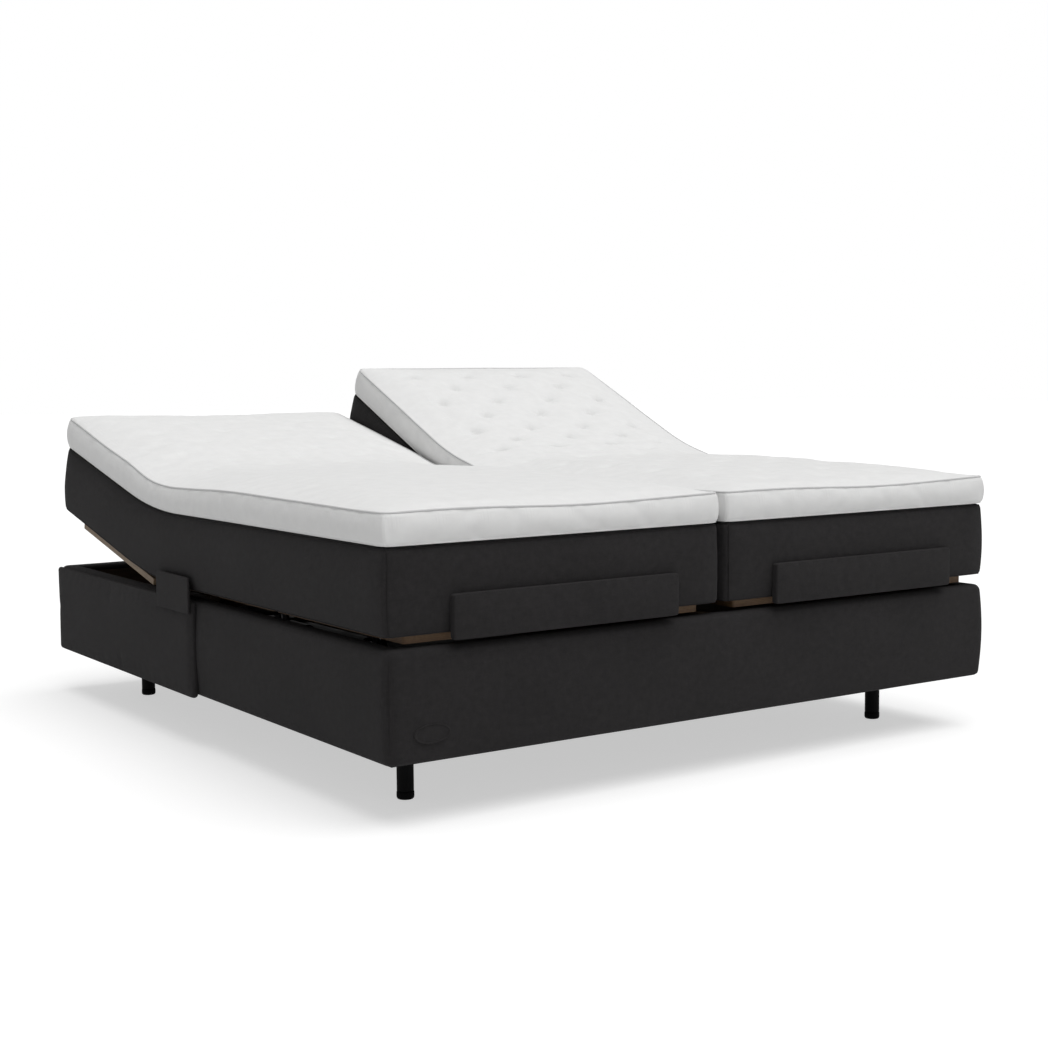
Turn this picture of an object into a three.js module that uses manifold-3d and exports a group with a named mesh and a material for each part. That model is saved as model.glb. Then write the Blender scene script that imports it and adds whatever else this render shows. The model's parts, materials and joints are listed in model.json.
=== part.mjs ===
// Adjustable upholstered bed base: one padded box on four legs that carries two sleeping
// units side by side. Each unit has a fixed seat, a back that rises, and a thigh and calf
// section that bend at the knee, all lifted by linear drives hidden in the box.
// Millimetres, +Z up. X runs across the bed, Y from the foot end to the head end.

import * as THREE from 'three';
import { mergeVertices } from 'three/addons/utils/BufferGeometryUtils.js';
import Module from 'manifold-3d';

const wasm = await Module();
wasm.setup();

// ---------------------------------------------------------------- driving dimensions

const GAP = 0.3; // between pieces that rest on each other

// Box
const BASE_WIDTH = 1800;
const BASE_LENGTH = 2000;
const LEG_HEIGHT = 135; // floor to the underside of the box
const BASE_HEIGHT = 241.5;
const COVER = 22; // padded cover on the rails
const COVER_LIP = 6.5; // padding over the top of the rails
const RAIL = 25;
const RAIL_RECESS = 2; // rails end this far above the cover's lower edge
const BEAM_WIDTH = 50;
const BEARER_WIDTH = 40;
const CLEAT = 25; // ledge that carries a seat board, beyond the face it is fixed to

// Legs
const LEG_RADIUS = 20;
const LEG_EDGE = 3;
const LEG_INSET_SIDE = 170;
const LEG_INSET_FOOT = 230;
const LEG_INSET_HEAD = 255;

// Panels on the outside of the box
const SIDE_PANEL = 17.7;
const SIDE_PANEL_DROP = 8; // reaches this far below the box
const SIDE_PANEL_RISE = 3.5; // and this far above it
const SIDE_PANEL_START = 10; // footward of the thigh hinge
const STOP_THICKNESS = 15;
const STOP_LENGTH = 212;
const STOP_HEIGHT = 97;
const STOP_OVERLAP = 37; // over the side panel
const STOP_START = 8; // footward of the thigh hinge
const PANEL_CORNER = 10;

// Deck
const DECK_LIFT = 6.5; // boards above the box
const BOARD = 18;
const BOARD_INSET = 50; // mattress over each side of the boards
const BOARD_FOOT_INSET = 30;
const BOARD_CORNER = 8;
const SEAT_LENGTH = 275;
const THIGH_LENGTH = 340;
const CALF_LENGTH = 630;
const HEAD_SETBACK = 45; // mattress to the head end of the box when flat
const BACK_BOARD_LENGTH = 535;
const VENT_LENGTH = 180;
const VENT_WIDTH = 18;

// Hinges between the boards
const HINGE_INSET = 5; // pin centre below the top face, or above the lower face at the knee
const HINGE_GAP = 8; // pin centre to the board's edge
const HINGE_X = 280;
const PIN_RADIUS = 3;
const PIN_BORE = 3.6;
const EYE_RADIUS = 5;
const EYE_WIDTH = 36;
const SIDE_EYE_WIDTH = 22;
const EYE_PLAY = 0.5;
const WELD = 3; // how far a welded piece runs into the one that it joins

// Mattress and topper
const UNIT_GAP = 10;
const MATTRESS = 187;
const TOPPER = 82;
const TOPPER_SETBACK = 5; // topper shorter than the mattress at each end and side
const SOFT_START = 4; // padding from the hinge line

// Foot panels
const FOOT_PANEL = 20;
const FOOT_PANEL_WIDTH = 605;
const FOOT_PANEL_HEIGHT = 100;
const FOOT_PANEL_RISE = 3; // lower edge above the underside of the boards
const FOOT_SPACER_WIDTH = 560;

// Motion, degrees
const BACK_MAX = 60;
const BACK_REST_LEFT = 12.3;
const BACK_REST_RIGHT = 25;
const THIGH_MAX = 30;
const SEAT_LEAN_BACK = 22; // slope of the seat padding's end under the back
const SEAT_LEAN_THIGH = 12;
const LEAN_CLEARANCE = 0.5;

// Lift frames and drives
const SHAFT_RADIUS = 15;
const SHAFT_PLAY = 0.5;
const SHAFT_DROP = 58; // below the hinge pins
const SHAFT_SPACE = 10; // between the left and right shaft in the centre beam
const SHAFT_SEAT = 20; // how far a shaft runs into the side rail
const ARM_WIDTH = 12;
const ARM_HEIGHT = 28;
const GLIDE_RADIUS = 15;
const GLIDE_OVERHANG = 30;
const LIFT_CLEARANCE = 0.2; // degrees between a glide and its board
const BACK_LIFT = { direction: 1, arm: 350, armX: 200, driveX: -90, max: BACK_MAX };
const LEG_LIFT = { direction: -1, arm: 200, armX: 150, driveX: 90, max: THIGH_MAX };
const LEVER = 143;
const LEVER_WIDTH = 30;
const CHEEK = 6;
const DRIVE_PIN = 6;
const DRIVE_PLAY = 0.6;
const DRIVE_LENGTH = 580; // rear pin to rod eye at mid stroke
const DRIVE_TUBE_RADIUS = 18;
const DRIVE_TUBE_END = 483;
const ROD_RADIUS = 8;
const ROD_LENGTH = 330;
const ROD_EYE_WIDTH = 16;
const ROD_EYE_LENGTH = 36;
const ROD_EYE_WALL = 8;
const MOTOR_RADIUS = 27;
const MOTOR_LENGTH = 125;
const MOTOR_X = 52;
const CASE_LENGTH = 74;
const CASE_HEIGHT = 64;
const CASE_START = 26;
const CASE_WALL = 3;
const BAR = 40; // square tube that holds the drives
const BAR_REACH = 45; // bar's centre to the drive's rear pin
const EAR_LENGTH = 14;

// Control unit
const CONTROL = { width: 180, depth: 60, height: 55, x: 200, rise: 12 };

// ---------------------------------------------------------------- places that follow

const rad = THREE.MathUtils.degToRad;
const BASE_TOP = LEG_HEIGHT + BASE_HEIGHT;
const RAIL_BOTTOM = LEG_HEIGHT + RAIL_RECESS;
const RAIL_TOP = BASE_TOP - COVER_LIP;
const INNER_HALF_WIDTH = BASE_WIDTH / 2 - COVER - RAIL;
const INNER_HALF_LENGTH = BASE_LENGTH / 2 - COVER - RAIL;
const UNIT_X = BASE_WIDTH / 4;
const MATTRESS_WIDTH = BASE_WIDTH / 2 - UNIT_GAP;
const BOARD_WIDTH = MATTRESS_WIDTH - 2 * BOARD_INSET;

const DECK_BOTTOM = BASE_TOP + DECK_LIFT;
const DECK_TOP = DECK_BOTTOM + BOARD;
const PIN_Z = DECK_TOP - HINGE_INSET;
const KNEE_Z = DECK_BOTTOM + HINGE_INSET;
const FOOT_Y = -BASE_LENGTH / 2;
const KNEE_Y = FOOT_Y + CALF_LENGTH;
const THIGH_Y = KNEE_Y + THIGH_LENGTH;
const BACK_Y = THIGH_Y + SEAT_LENGTH;
const BACK_LENGTH = BASE_LENGTH / 2 - HEAD_SETBACK - BACK_Y;

const SHAFT_Z = PIN_Z - SHAFT_DROP;
const UNDERSIDE = BOARD - HINGE_INSET; // hinge pin to the underside of a board

const BACK_SWING = leverSwing(BACK_LIFT);
const DRIVE_Z = SHAFT_Z - LEVER * (1 + Math.cos(BACK_SWING)) / 2;
const BEARER_TOP = DRIVE_Z + BAR / 2;
const X_AXIS = new THREE.Vector3(1, 0, 0);
const Y_AXIS = new THREE.Vector3(0, 1, 0);
const Z_AXIS = new THREE.Vector3(0, 0, 1);

// ---------------------------------------------------------------- lift kinematics

// Angle of a lift arm above the flat deck when its glide touches the underside of a board
// that is raised by sectionAngle. Radians.
function touchAngle(lift, sectionAngle) {
  const rise = SHAFT_DROP * Math.cos(sectionAngle) - UNDERSIDE - GLIDE_RADIUS;
  return sectionAngle + Math.asin(rise / lift.arm);
}

// Degrees that the arm turns for one degree of its section.
function liftRatio(lift) {
  const max = rad(lift.max);
  return (touchAngle(lift, max) - touchAngle(lift, 0)) / max;
}

function liftAngle(lift, sectionAngle) {
  return touchAngle(lift, 0) - rad(LIFT_CLEARANCE) + liftRatio(lift) * sectionAngle;
}

// The lever hangs straight down at half lift and swings this far to each side.
function leverSwing(lift) {
  return liftRatio(lift) * rad(lift.max) / 2;
}

// Travel of the rod from mid stroke when its section is raised by sectionAngle.
function rodTravel(lift, sectionAngle) {
  const half = rad(lift.max) / 2;
  return LEVER * Math.sin(leverSwing(lift)) * (sectionAngle - half) / half;
}

// ---------------------------------------------------------------- finishes

const UPHOLSTERY = { color: 0x2d2b2c, roughness: 0.95, metalness: 0 };
const TOPPER_CLOTH = { color: 0xe6e6e5, roughness: 0.9, metalness: 0 };
const PLYWOOD = { color: 0xb9a58a, roughness: 0.6, metalness: 0 };
const TIMBER = { color: 0x8a7358, roughness: 0.75, metalness: 0 };
const BLACK_METAL = { color: 0x0c0c0c, roughness: 0.45, metalness: 0.4 };
const STEEL = { color: 0x8e9194, roughness: 0.35, metalness: 0.9 };
const PLASTIC = { color: 0x1b1c1e, roughness: 0.55, metalness: 0 };

// ---------------------------------------------------------------- small helpers

function part(name, geometry, finish) {
  const mesh = new THREE.Mesh(geometry, new THREE.MeshStandardMaterial(finish));
  mesh.name = name;
  return mesh;
}

function box(width, depth, height, x = 0, y = 0, z = 0) {
  return new THREE.BoxGeometry(width, depth, height).translate(x, y, z);
}

function rodX(radius, length, x = 0, y = 0, z = 0, segments = 16) {
  const geometry = new THREE.CylinderGeometry(radius, radius, length, segments);
  return geometry.rotateZ(Math.PI / 2).translate(x, y, z);
}

function rodY(radius, start, end, x = 0, z = 0, segments = 16) {
  const geometry = new THREE.CylinderGeometry(radius, radius, end - start, segments);
  return geometry.translate(x, (start + end) / 2, z);
}

// Extrudes an outline drawn in Y and Z along X, centred on x = 0.
function alongX(shape, width, segments = 4) {
  const options = { depth: width, bevelEnabled: false, curveSegments: segments };
  const geometry = new THREE.ExtrudeGeometry(shape, options).translate(0, 0, -width / 2);
  return geometry.applyMatrix4(new THREE.Matrix4().makeBasis(Y_AXIS, Z_AXIS, X_AXIS));
}

function polygon(points) {
  return new THREE.Shape(points.map(([a, b]) => new THREE.Vector2(a, b)));
}

function rectangle(a0, b0, a1, b1) {
  return polygon([[a0, b0], [a1, b0], [a1, b1], [a0, b1]]);
}

function roundedRectangle(a0, b0, a1, b1, radius) {
  const shape = new THREE.Shape();
  shape.moveTo(a0 + radius, b0);
  shape.absarc(a1 - radius, b0 + radius, radius, -Math.PI / 2, 0, false);
  shape.absarc(a1 - radius, b1 - radius, radius, 0, Math.PI / 2, false);
  shape.absarc(a0 + radius, b1 - radius, radius, Math.PI / 2, Math.PI, false);
  shape.absarc(a0 + radius, b0 + radius, radius, Math.PI, 1.5 * Math.PI, false);
  return shape;
}

function circleHole(a, b, radius) {
  return new THREE.Path().absarc(a, b, radius, 0, 2 * Math.PI, true);
}

function slotHole(a, b, length, width) {
  const path = new THREE.Path();
  const half = (length - width) / 2;
  path.absarc(a + half, b, width / 2, -Math.PI / 2, Math.PI / 2, false);
  path.absarc(a - half, b, width / 2, Math.PI / 2, 1.5 * Math.PI, false);
  path.closePath();
  return path;
}

function toSolid(geometry) {
  const bare = geometry.clone();
  bare.deleteAttribute('normal');
  bare.deleteAttribute('uv');
  const merged = mergeVertices(bare, 1e-4);
  return new wasm.Manifold(new wasm.Mesh({
    numProp: 3,
    vertProperties: new Float32Array(merged.attributes.position.array),
    triVerts: new Uint32Array(merged.index.array),
  }));
}

function toGeometry(solid) {
  const mesh = solid.getMesh();
  const geometry = new THREE.BufferGeometry();
  geometry.setAttribute('position', new THREE.BufferAttribute(mesh.vertProperties, 3));
  geometry.setIndex(new THREE.BufferAttribute(mesh.triVerts, 1));
  geometry.computeVertexNormals();
  return geometry;
}

// One body from several that run into each other, less the holes.
function weld(pieces, holes = []) {
  const joined = pieces.map(toSolid).reduce((sum, next) => sum.add(next));
  return toGeometry(holes.map(toSolid).reduce((rest, hole) => rest.subtract(hole), joined));
}

// ---------------------------------------------------------------- box

// One side of the padded cover: the face, and a lip over the rail, mitred at both ends.
function coverGeometry(length) {
  const inner = COVER - GAP;
  const lip = COVER + RAIL;
  const profile = polygon([
    [0, LEG_HEIGHT], [inner, LEG_HEIGHT], [inner, RAIL_TOP + GAP],
    [lip, RAIL_TOP + GAP], [lip, BASE_TOP], [0, BASE_TOP],
  ]);
  const geometry = alongX(profile, length);
  const position = geometry.attributes.position;
  for (let i = 0; i < position.count; i += 1) {
    const x = position.getX(i);
    position.setX(i, x - Math.sign(x) * (position.getY(i) + GAP));
  }
  return geometry;
}

function cover(name, length, x, y, turn) {
  const mesh = part(name, coverGeometry(length), UPHOLSTERY);
  mesh.position.set(x, y, 0);
  mesh.rotation.z = turn;
  return mesh;
}

function buildCovers() {
  return [
    cover('cover_foot', BASE_WIDTH, 0, -BASE_LENGTH / 2, 0),
    cover('cover_head', BASE_WIDTH, 0, BASE_LENGTH / 2, Math.PI),
    cover('cover_left', BASE_LENGTH, -BASE_WIDTH / 2, 0, -Math.PI / 2),
    cover('cover_right', BASE_LENGTH, BASE_WIDTH / 2, 0, Math.PI / 2),
  ];
}

function endRail(name, sign) {
  const mesh = part(name, box(BASE_WIDTH - 2 * COVER, RAIL, RAIL_TOP - RAIL_BOTTOM), TIMBER);
  mesh.position.set(0, sign * (BASE_LENGTH / 2 - COVER - RAIL / 2), (RAIL_TOP + RAIL_BOTTOM) / 2);
  return mesh;
}

// Outline of a lengthwise member with the bearing holes of both lift shafts.
function boredOutline(bottom) {
  const half = INNER_HALF_LENGTH - GAP;
  const outline = rectangle(-half, bottom, half, RAIL_TOP);
  for (const y of [BACK_Y, THIGH_Y]) {
    outline.holes.push(circleHole(y, SHAFT_Z, SHAFT_RADIUS + SHAFT_PLAY));
  }
  return outline;
}

// Ledge under the ends of a seat board, from above the shafts to the given height.
function cleat(width, top, x = 0) {
  const bottom = SHAFT_Z + SHAFT_RADIUS + WELD;
  const length = SEAT_LENGTH - 2 * BOARD;
  return box(width, length, top - bottom, x, THIGH_Y + SEAT_LENGTH / 2, (top + bottom) / 2);
}

function sideRail(name, side) {
  const inward = -side * (RAIL + CLEAT) / 2;
  const pieces = [
    alongX(boredOutline(RAIL_BOTTOM), RAIL, 8),
    cleat(CLEAT, RAIL_TOP - WELD, inward + side * WELD),
    cleat(CLEAT - GAP, DECK_BOTTOM - GAP, inward - side * GAP / 2),
  ];
  const mesh = part(name, weld(pieces), TIMBER);
  mesh.position.x = side * (INNER_HALF_WIDTH + RAIL / 2);
  return mesh;
}

function centreBeam() {
  const beam = alongX(boredOutline(BEARER_TOP + GAP), BEAM_WIDTH, 8);
  const ledge = cleat(2 * (UNIT_X - BOARD_WIDTH / 2 + CLEAT), DECK_BOTTOM - GAP);
  return part('centre_beam', weld([beam, ledge]), TIMBER);
}

function bearer(name, y) {
  const height = BEARER_TOP - LEG_HEIGHT;
  const mesh = part(name, box(2 * (INNER_HALF_WIDTH - GAP), BEARER_WIDTH, height), TIMBER);
  mesh.position.set(0, y, LEG_HEIGHT + height / 2);
  return mesh;
}

function leg(name, x, y) {
  const top = LEG_HEIGHT - GAP;
  const profile = [
    [0, 0], [LEG_RADIUS - LEG_EDGE, 0], [LEG_RADIUS, LEG_EDGE], [LEG_RADIUS, top], [0, top],
  ].map(([r, z]) => new THREE.Vector2(r, z));
  const geometry = new THREE.LatheGeometry(profile, 24).rotateX(Math.PI / 2);
  const mesh = part(name, geometry, BLACK_METAL);
  mesh.position.set(x, y, 0);
  return mesh;
}

function buildLegsAndBearers() {
  const legX = BASE_WIDTH / 2 - LEG_INSET_SIDE;
  const footY = -BASE_LENGTH / 2 + LEG_INSET_FOOT;
  const headY = BASE_LENGTH / 2 - LEG_INSET_HEAD;
  const meshes = [bearer('leg_bearer_foot', footY), bearer('leg_bearer_head', headY)];
  for (const [end, y] of [['foot', footY], ['head', headY]]) {
    meshes.push(leg(`leg_${end}_left`, -legX, y), leg(`leg_${end}_right`, legX, y));
  }
  return meshes;
}

function controlUnit() {
  const geometry = box(CONTROL.width, CONTROL.depth, CONTROL.height);
  const mesh = part('control_unit', geometry, PLASTIC);
  const bearerFace = BASE_LENGTH / 2 - LEG_INSET_HEAD + BEARER_WIDTH / 2;
  mesh.position.set(
    CONTROL.x,
    bearerFace + GAP + CONTROL.depth / 2,
    LEG_HEIGHT + CONTROL.rise + CONTROL.height / 2,
  );
  return mesh;
}

// Padded panel that covers the head half of one side of the box.
function sidePanel(name, side) {
  const start = THIGH_Y - SIDE_PANEL_START;
  const bottom = LEG_HEIGHT - SIDE_PANEL_DROP;
  const top = BASE_TOP + SIDE_PANEL_RISE;
  const outline = roundedRectangle(start, bottom, BASE_LENGTH / 2, top, PANEL_CORNER);
  const mesh = part(name, alongX(outline, SIDE_PANEL), UPHOLSTERY);
  mesh.position.x = side * (BASE_WIDTH / 2 + GAP + SIDE_PANEL / 2);
  return mesh;
}

// Padded plate beside the seat that keeps the mattress from sliding sideways.
function sideStop(name, side) {
  const start = THIGH_Y - STOP_START;
  const bottom = BASE_TOP + SIDE_PANEL_RISE - STOP_OVERLAP;
  const outline = roundedRectangle(
    start, bottom, start + STOP_LENGTH, bottom + STOP_HEIGHT, PANEL_CORNER,
  );
  const mesh = part(name, alongX(outline, STOP_THICKNESS), UPHOLSTERY);
  mesh.position.x = side * (BASE_WIDTH / 2 + SIDE_PANEL + 2 * GAP + STOP_THICKNESS / 2);
  return mesh;
}

// Square tube across the box with a pair of ears for the rear pin of each unit's drive.
function driveBar(name, lift) {
  const bar = box(2 * (INNER_HALF_WIDTH - GAP), BAR, BAR, 0, -lift.direction * BAR_REACH, 0);
  const outline = rectangle(
    -EAR_LENGTH, -EAR_LENGTH, BAR_REACH - BAR / 2 + WELD, EAR_LENGTH,
  );
  outline.holes.push(circleHole(0, 0, DRIVE_PIN + DRIVE_PLAY));
  const ears = [];
  for (const unitX of [-UNIT_X, UNIT_X]) {
    for (const cheekSide of [-1, 1]) {
      const ear = alongX(outline, CHEEK);
      if (lift.direction > 0) ear.rotateZ(Math.PI);
      ears.push(ear.translate(unitX + lift.driveX + cheekSide * cheekX(), 0, 0));
    }
  }
  const mesh = part(name, weld([bar, ...ears]), STEEL);
  mesh.position.set(0, rearPinY(lift), DRIVE_Z);
  return mesh;
}

// ---------------------------------------------------------------- lifts and drives

// Each shaft lies straight below the hinge of the section that it lifts.
function shaftY(lift) {
  return lift.direction > 0 ? BACK_Y : THIGH_Y;
}

function rearPinY(lift) {
  return shaftY(lift) - lift.direction * DRIVE_LENGTH;
}

function cheekX() {
  return ROD_EYE_WIDTH / 2 + 2 * DRIVE_PLAY + CHEEK / 2;
}

// Shaft, two arms, the glide tube that pushes the board, and the lever that the rod moves.
function liftFrame(name, lift, side, angle) {
  const innerEnd = SHAFT_SPACE / 2;
  const outerEnd = INNER_HALF_WIDTH + SHAFT_SEAT;
  const shaftX = side * ((innerEnd + outerEnd) / 2 - UNIT_X);
  const lean = -lift.direction * (liftAngle(lift, 0) + leverSwing(lift));
  const pieces = [
    rodX(SHAFT_RADIUS, outerEnd - innerEnd, shaftX),
    rodX(GLIDE_RADIUS, 2 * (lift.armX + GLIDE_OVERHANG), 0, lift.direction * lift.arm),
  ];
  for (const armSide of [-1, 1]) {
    const armX = armSide * lift.armX;
    pieces.push(box(ARM_WIDTH, lift.arm, ARM_HEIGHT, armX, lift.direction * lift.arm / 2));
    const cheek = box(CHEEK, LEVER_WIDTH, LEVER + LEVER_WIDTH, 0, 0, -LEVER / 2);
    pieces.push(cheek.rotateX(lean).translate(lift.driveX + armSide * cheekX(), 0, 0));
  }
  const pin = rodX(DRIVE_PIN, 2 * cheekX() + CHEEK, 0, 0, -LEVER);
  pieces.push(pin.rotateX(lean).translate(lift.driveX, 0, 0));
  const mesh = part(name, weld(pieces), STEEL);
  mesh.position.set(0, shaftY(lift), SHAFT_Z);
  mesh.rotation.x = lift.direction * angle;
  return mesh;
}

// Gear case, motor and guide tube of one linear drive, with its rear pin at the origin.
function driveBody(name, lift) {
  const caseWidth = MOTOR_X + MOTOR_RADIUS + CASE_WALL + CASE_HEIGHT / 2;
  const caseX = (MOTOR_X + MOTOR_RADIUS + CASE_WALL - CASE_HEIGHT / 2) / 2;
  const caseEnd = CASE_START + CASE_LENGTH;
  const tailLength = CASE_START + EAR_LENGTH - DRIVE_PLAY;
  const boreStart = DRIVE_LENGTH - ROD_LENGTH - 2 * ROD_EYE_LENGTH;
  const body = weld([
    rodX(DRIVE_PIN, 2 * cheekX() + CHEEK),
    box(ROD_EYE_WIDTH, tailLength + WELD, 2 * EAR_LENGTH, 0, (CASE_START + WELD - EAR_LENGTH) / 2),
    box(caseWidth, CASE_LENGTH, CASE_HEIGHT, caseX, CASE_START + CASE_LENGTH / 2),
    rodY(MOTOR_RADIUS, caseEnd - WELD, caseEnd + MOTOR_LENGTH, MOTOR_X),
    rodY(DRIVE_TUBE_RADIUS, caseEnd - WELD, DRIVE_TUBE_END),
  ], [rodY(ROD_RADIUS + DRIVE_PLAY, boreStart, DRIVE_TUBE_END + WELD)]);
  const mesh = part(name, body, PLASTIC);
  mesh.position.set(lift.driveX, rearPinY(lift), DRIVE_Z);
  mesh.rotation.z = lift.direction > 0 ? 0 : Math.PI;
  return mesh;
}

// Push rod with an upright slot in its eye, which lets the lever's pin rise and fall.
function driveRod(name, lift, sectionAngle) {
  const slotHeight = 2 * (DRIVE_PIN + DRIVE_PLAY) + LEVER * (1 - Math.cos(BACK_SWING));
  const slotWidth = 2 * (DRIVE_PIN + 3 * DRIVE_PLAY);
  const eyeHeight = slotHeight + 2 * ROD_EYE_WALL;
  const rod = weld([
    rodY(ROD_RADIUS, -ROD_LENGTH, WELD - ROD_EYE_LENGTH / 2),
    box(ROD_EYE_WIDTH, ROD_EYE_LENGTH, eyeHeight),
  ], [box(2 * ROD_EYE_WIDTH, slotWidth, slotHeight)]);
  const mesh = part(name, rod, STEEL);
  const y = shaftY(lift) + lift.direction * rodTravel(lift, sectionAngle);
  mesh.position.set(lift.driveX, y, DRIVE_Z);
  mesh.rotation.z = lift.direction > 0 ? 0 : Math.PI;
  return mesh;
}

// ---------------------------------------------------------------- deck boards

// Board between two distances from its own hinge line, along direction.
function boardGeometry(direction, start, end, bottom) {
  const [y0, y1] = [direction * start, direction * end].sort((a, b) => a - b);
  const half = BOARD_WIDTH / 2;
  const outline = roundedRectangle(-half, y0, half, y1, BOARD_CORNER);
  for (const x of [-half / 2, half / 2]) {
    outline.holes.push(slotHole(x, (y0 + y1) / 2, VENT_LENGTH, VENT_WIDTH));
  }
  const options = { depth: BOARD, bevelEnabled: false, curveSegments: 3 };
  return new THREE.ExtrudeGeometry(outline, options).translate(0, 0, bottom);
}

// Hinge eye around the pin, with a web that runs back to the board's edge. direction points
// from the pin to the board.
function hingeEye(direction, width, bore) {
  const root = -HINGE_GAP - WELD;
  const outline = new THREE.Shape();
  outline.moveTo(root, -EYE_RADIUS);
  outline.absarc(0, 0, EYE_RADIUS, -Math.PI / 2, Math.PI / 2, false);
  outline.lineTo(root, EYE_RADIUS);
  if (bore > 0) outline.holes.push(circleHole(0, 0, bore));
  return alongX(outline, width).rotateZ(direction > 0 ? Math.PI : 0);
}

// Two hinge halves that hold the pins.
function pinHalves(direction, y = 0, z = 0) {
  const pinLength = EYE_WIDTH + 2 * (SIDE_EYE_WIDTH + 2 * EYE_PLAY);
  const pieces = [];
  for (const x of [-HINGE_X, HINGE_X]) {
    pieces.push(hingeEye(direction, EYE_WIDTH, 0).translate(x, y, z));
    pieces.push(rodX(PIN_RADIUS, pinLength, x, y, z, 10));
  }
  return pieces;
}

// Two hinge halves that turn on the pins.
function eyeHalves(direction) {
  const offset = (EYE_WIDTH + SIDE_EYE_WIDTH) / 2 + EYE_PLAY;
  const pieces = [];
  for (const x of [-HINGE_X, HINGE_X]) {
    for (const eyeSide of [-1, 1]) {
      const eye = hingeEye(direction, SIDE_EYE_WIDTH, PIN_BORE);
      pieces.push(eye.translate(x + eyeSide * offset, 0, 0));
    }
  }
  return pieces;
}

function seatBoard() {
  const board = boardGeometry(-1, HINGE_GAP, SEAT_LENGTH - HINGE_GAP, -UNDERSIDE);
  return weld([board, ...pinHalves(-1), ...pinHalves(1, -SEAT_LENGTH)]);
}

function backBoard() {
  const board = boardGeometry(1, HINGE_GAP, BACK_BOARD_LENGTH, -UNDERSIDE);
  return weld([board, ...eyeHalves(1)]);
}

function thighBoard() {
  const board = boardGeometry(-1, HINGE_GAP, THIGH_LENGTH - HINGE_GAP, -UNDERSIDE);
  return weld([board, ...eyeHalves(-1), ...pinHalves(1, -THIGH_LENGTH, KNEE_Z - PIN_Z)]);
}

function calfBoard() {
  const board = boardGeometry(-1, HINGE_GAP, CALF_LENGTH - BOARD_FOOT_INSET, -HINGE_INSET);
  return weld([board, ...eyeHalves(-1)]);
}

// ---------------------------------------------------------------- mattress and topper

// A slice of padding above the deck, as an outline in Y and Z about the hinge at the origin.
// near and far are its ends along direction, each with the slope of its end face.
function paddingSlice(direction, near, far, bottom, height) {
  const lean = (end, z) => direction * (end.at + (z - end.from) * Math.tan(rad(end.lean)));
  return polygon([
    [lean(near, bottom), bottom],
    [lean(far, bottom), bottom],
    [lean(far, bottom + height), bottom + height],
    [lean(near, bottom + height), bottom + height],
  ]);
}

// Mattress and topper meshes of one section. deck is the height of the boards' top face.
function padding(section, suffix, direction, near, far, deck) {
  const mattressBottom = deck + GAP;
  const topperBottom = mattressBottom + MATTRESS + GAP;
  const nearEnd = { at: near.at, lean: near.lean, from: mattressBottom };
  const farEnd = { at: far.at, lean: far.lean, from: mattressBottom };
  const topperFar = { ...farEnd, at: far.at - (far.free ? TOPPER_SETBACK : 0) };
  const mattress = paddingSlice(direction, nearEnd, farEnd, mattressBottom, MATTRESS);
  const topper = paddingSlice(direction, nearEnd, topperFar, topperBottom, TOPPER);
  const topperWidth = MATTRESS_WIDTH - TOPPER_SETBACK;
  return [
    part(`mattress_${section}_${suffix}`, alongX(mattress, MATTRESS_WIDTH), UPHOLSTERY),
    part(`topper_${section}_${suffix}`, alongX(topper, topperWidth), TOPPER_CLOTH),
  ];
}

// Padded board across the foot of the mattress, on a spacer fixed to the calf board's end.
function footPanel(name) {
  const half = FOOT_PANEL_WIDTH / 2;
  const bottom = FOOT_PANEL_RISE - HINGE_INSET;
  const options = { depth: FOOT_PANEL - GAP, bevelEnabled: false, curveSegments: 3 };
  const outline = roundedRectangle(-half, bottom, half, bottom + FOOT_PANEL_HEIGHT, PANEL_CORNER);
  const plate = new THREE.ExtrudeGeometry(outline, options).rotateX(Math.PI / 2);
  plate.translate(0, -CALF_LENGTH - GAP, 0);
  const spacerHeight = BOARD - FOOT_PANEL_RISE - GAP;
  const spacer = box(
    FOOT_SPACER_WIDTH, BOARD_FOOT_INSET + WELD - GAP, spacerHeight,
    0, -CALF_LENGTH + (BOARD_FOOT_INSET - GAP - WELD) / 2, bottom + GAP + spacerHeight / 2,
  );
  return part(name, weld([plate, spacer]), UPHOLSTERY);
}

// ---------------------------------------------------------------- one sleeping unit

function hinged(y, z, angle, meshes) {
  const group = new THREE.Group();
  group.position.set(0, y, z);
  group.rotation.x = angle;
  group.add(...meshes);
  return group;
}

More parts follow.
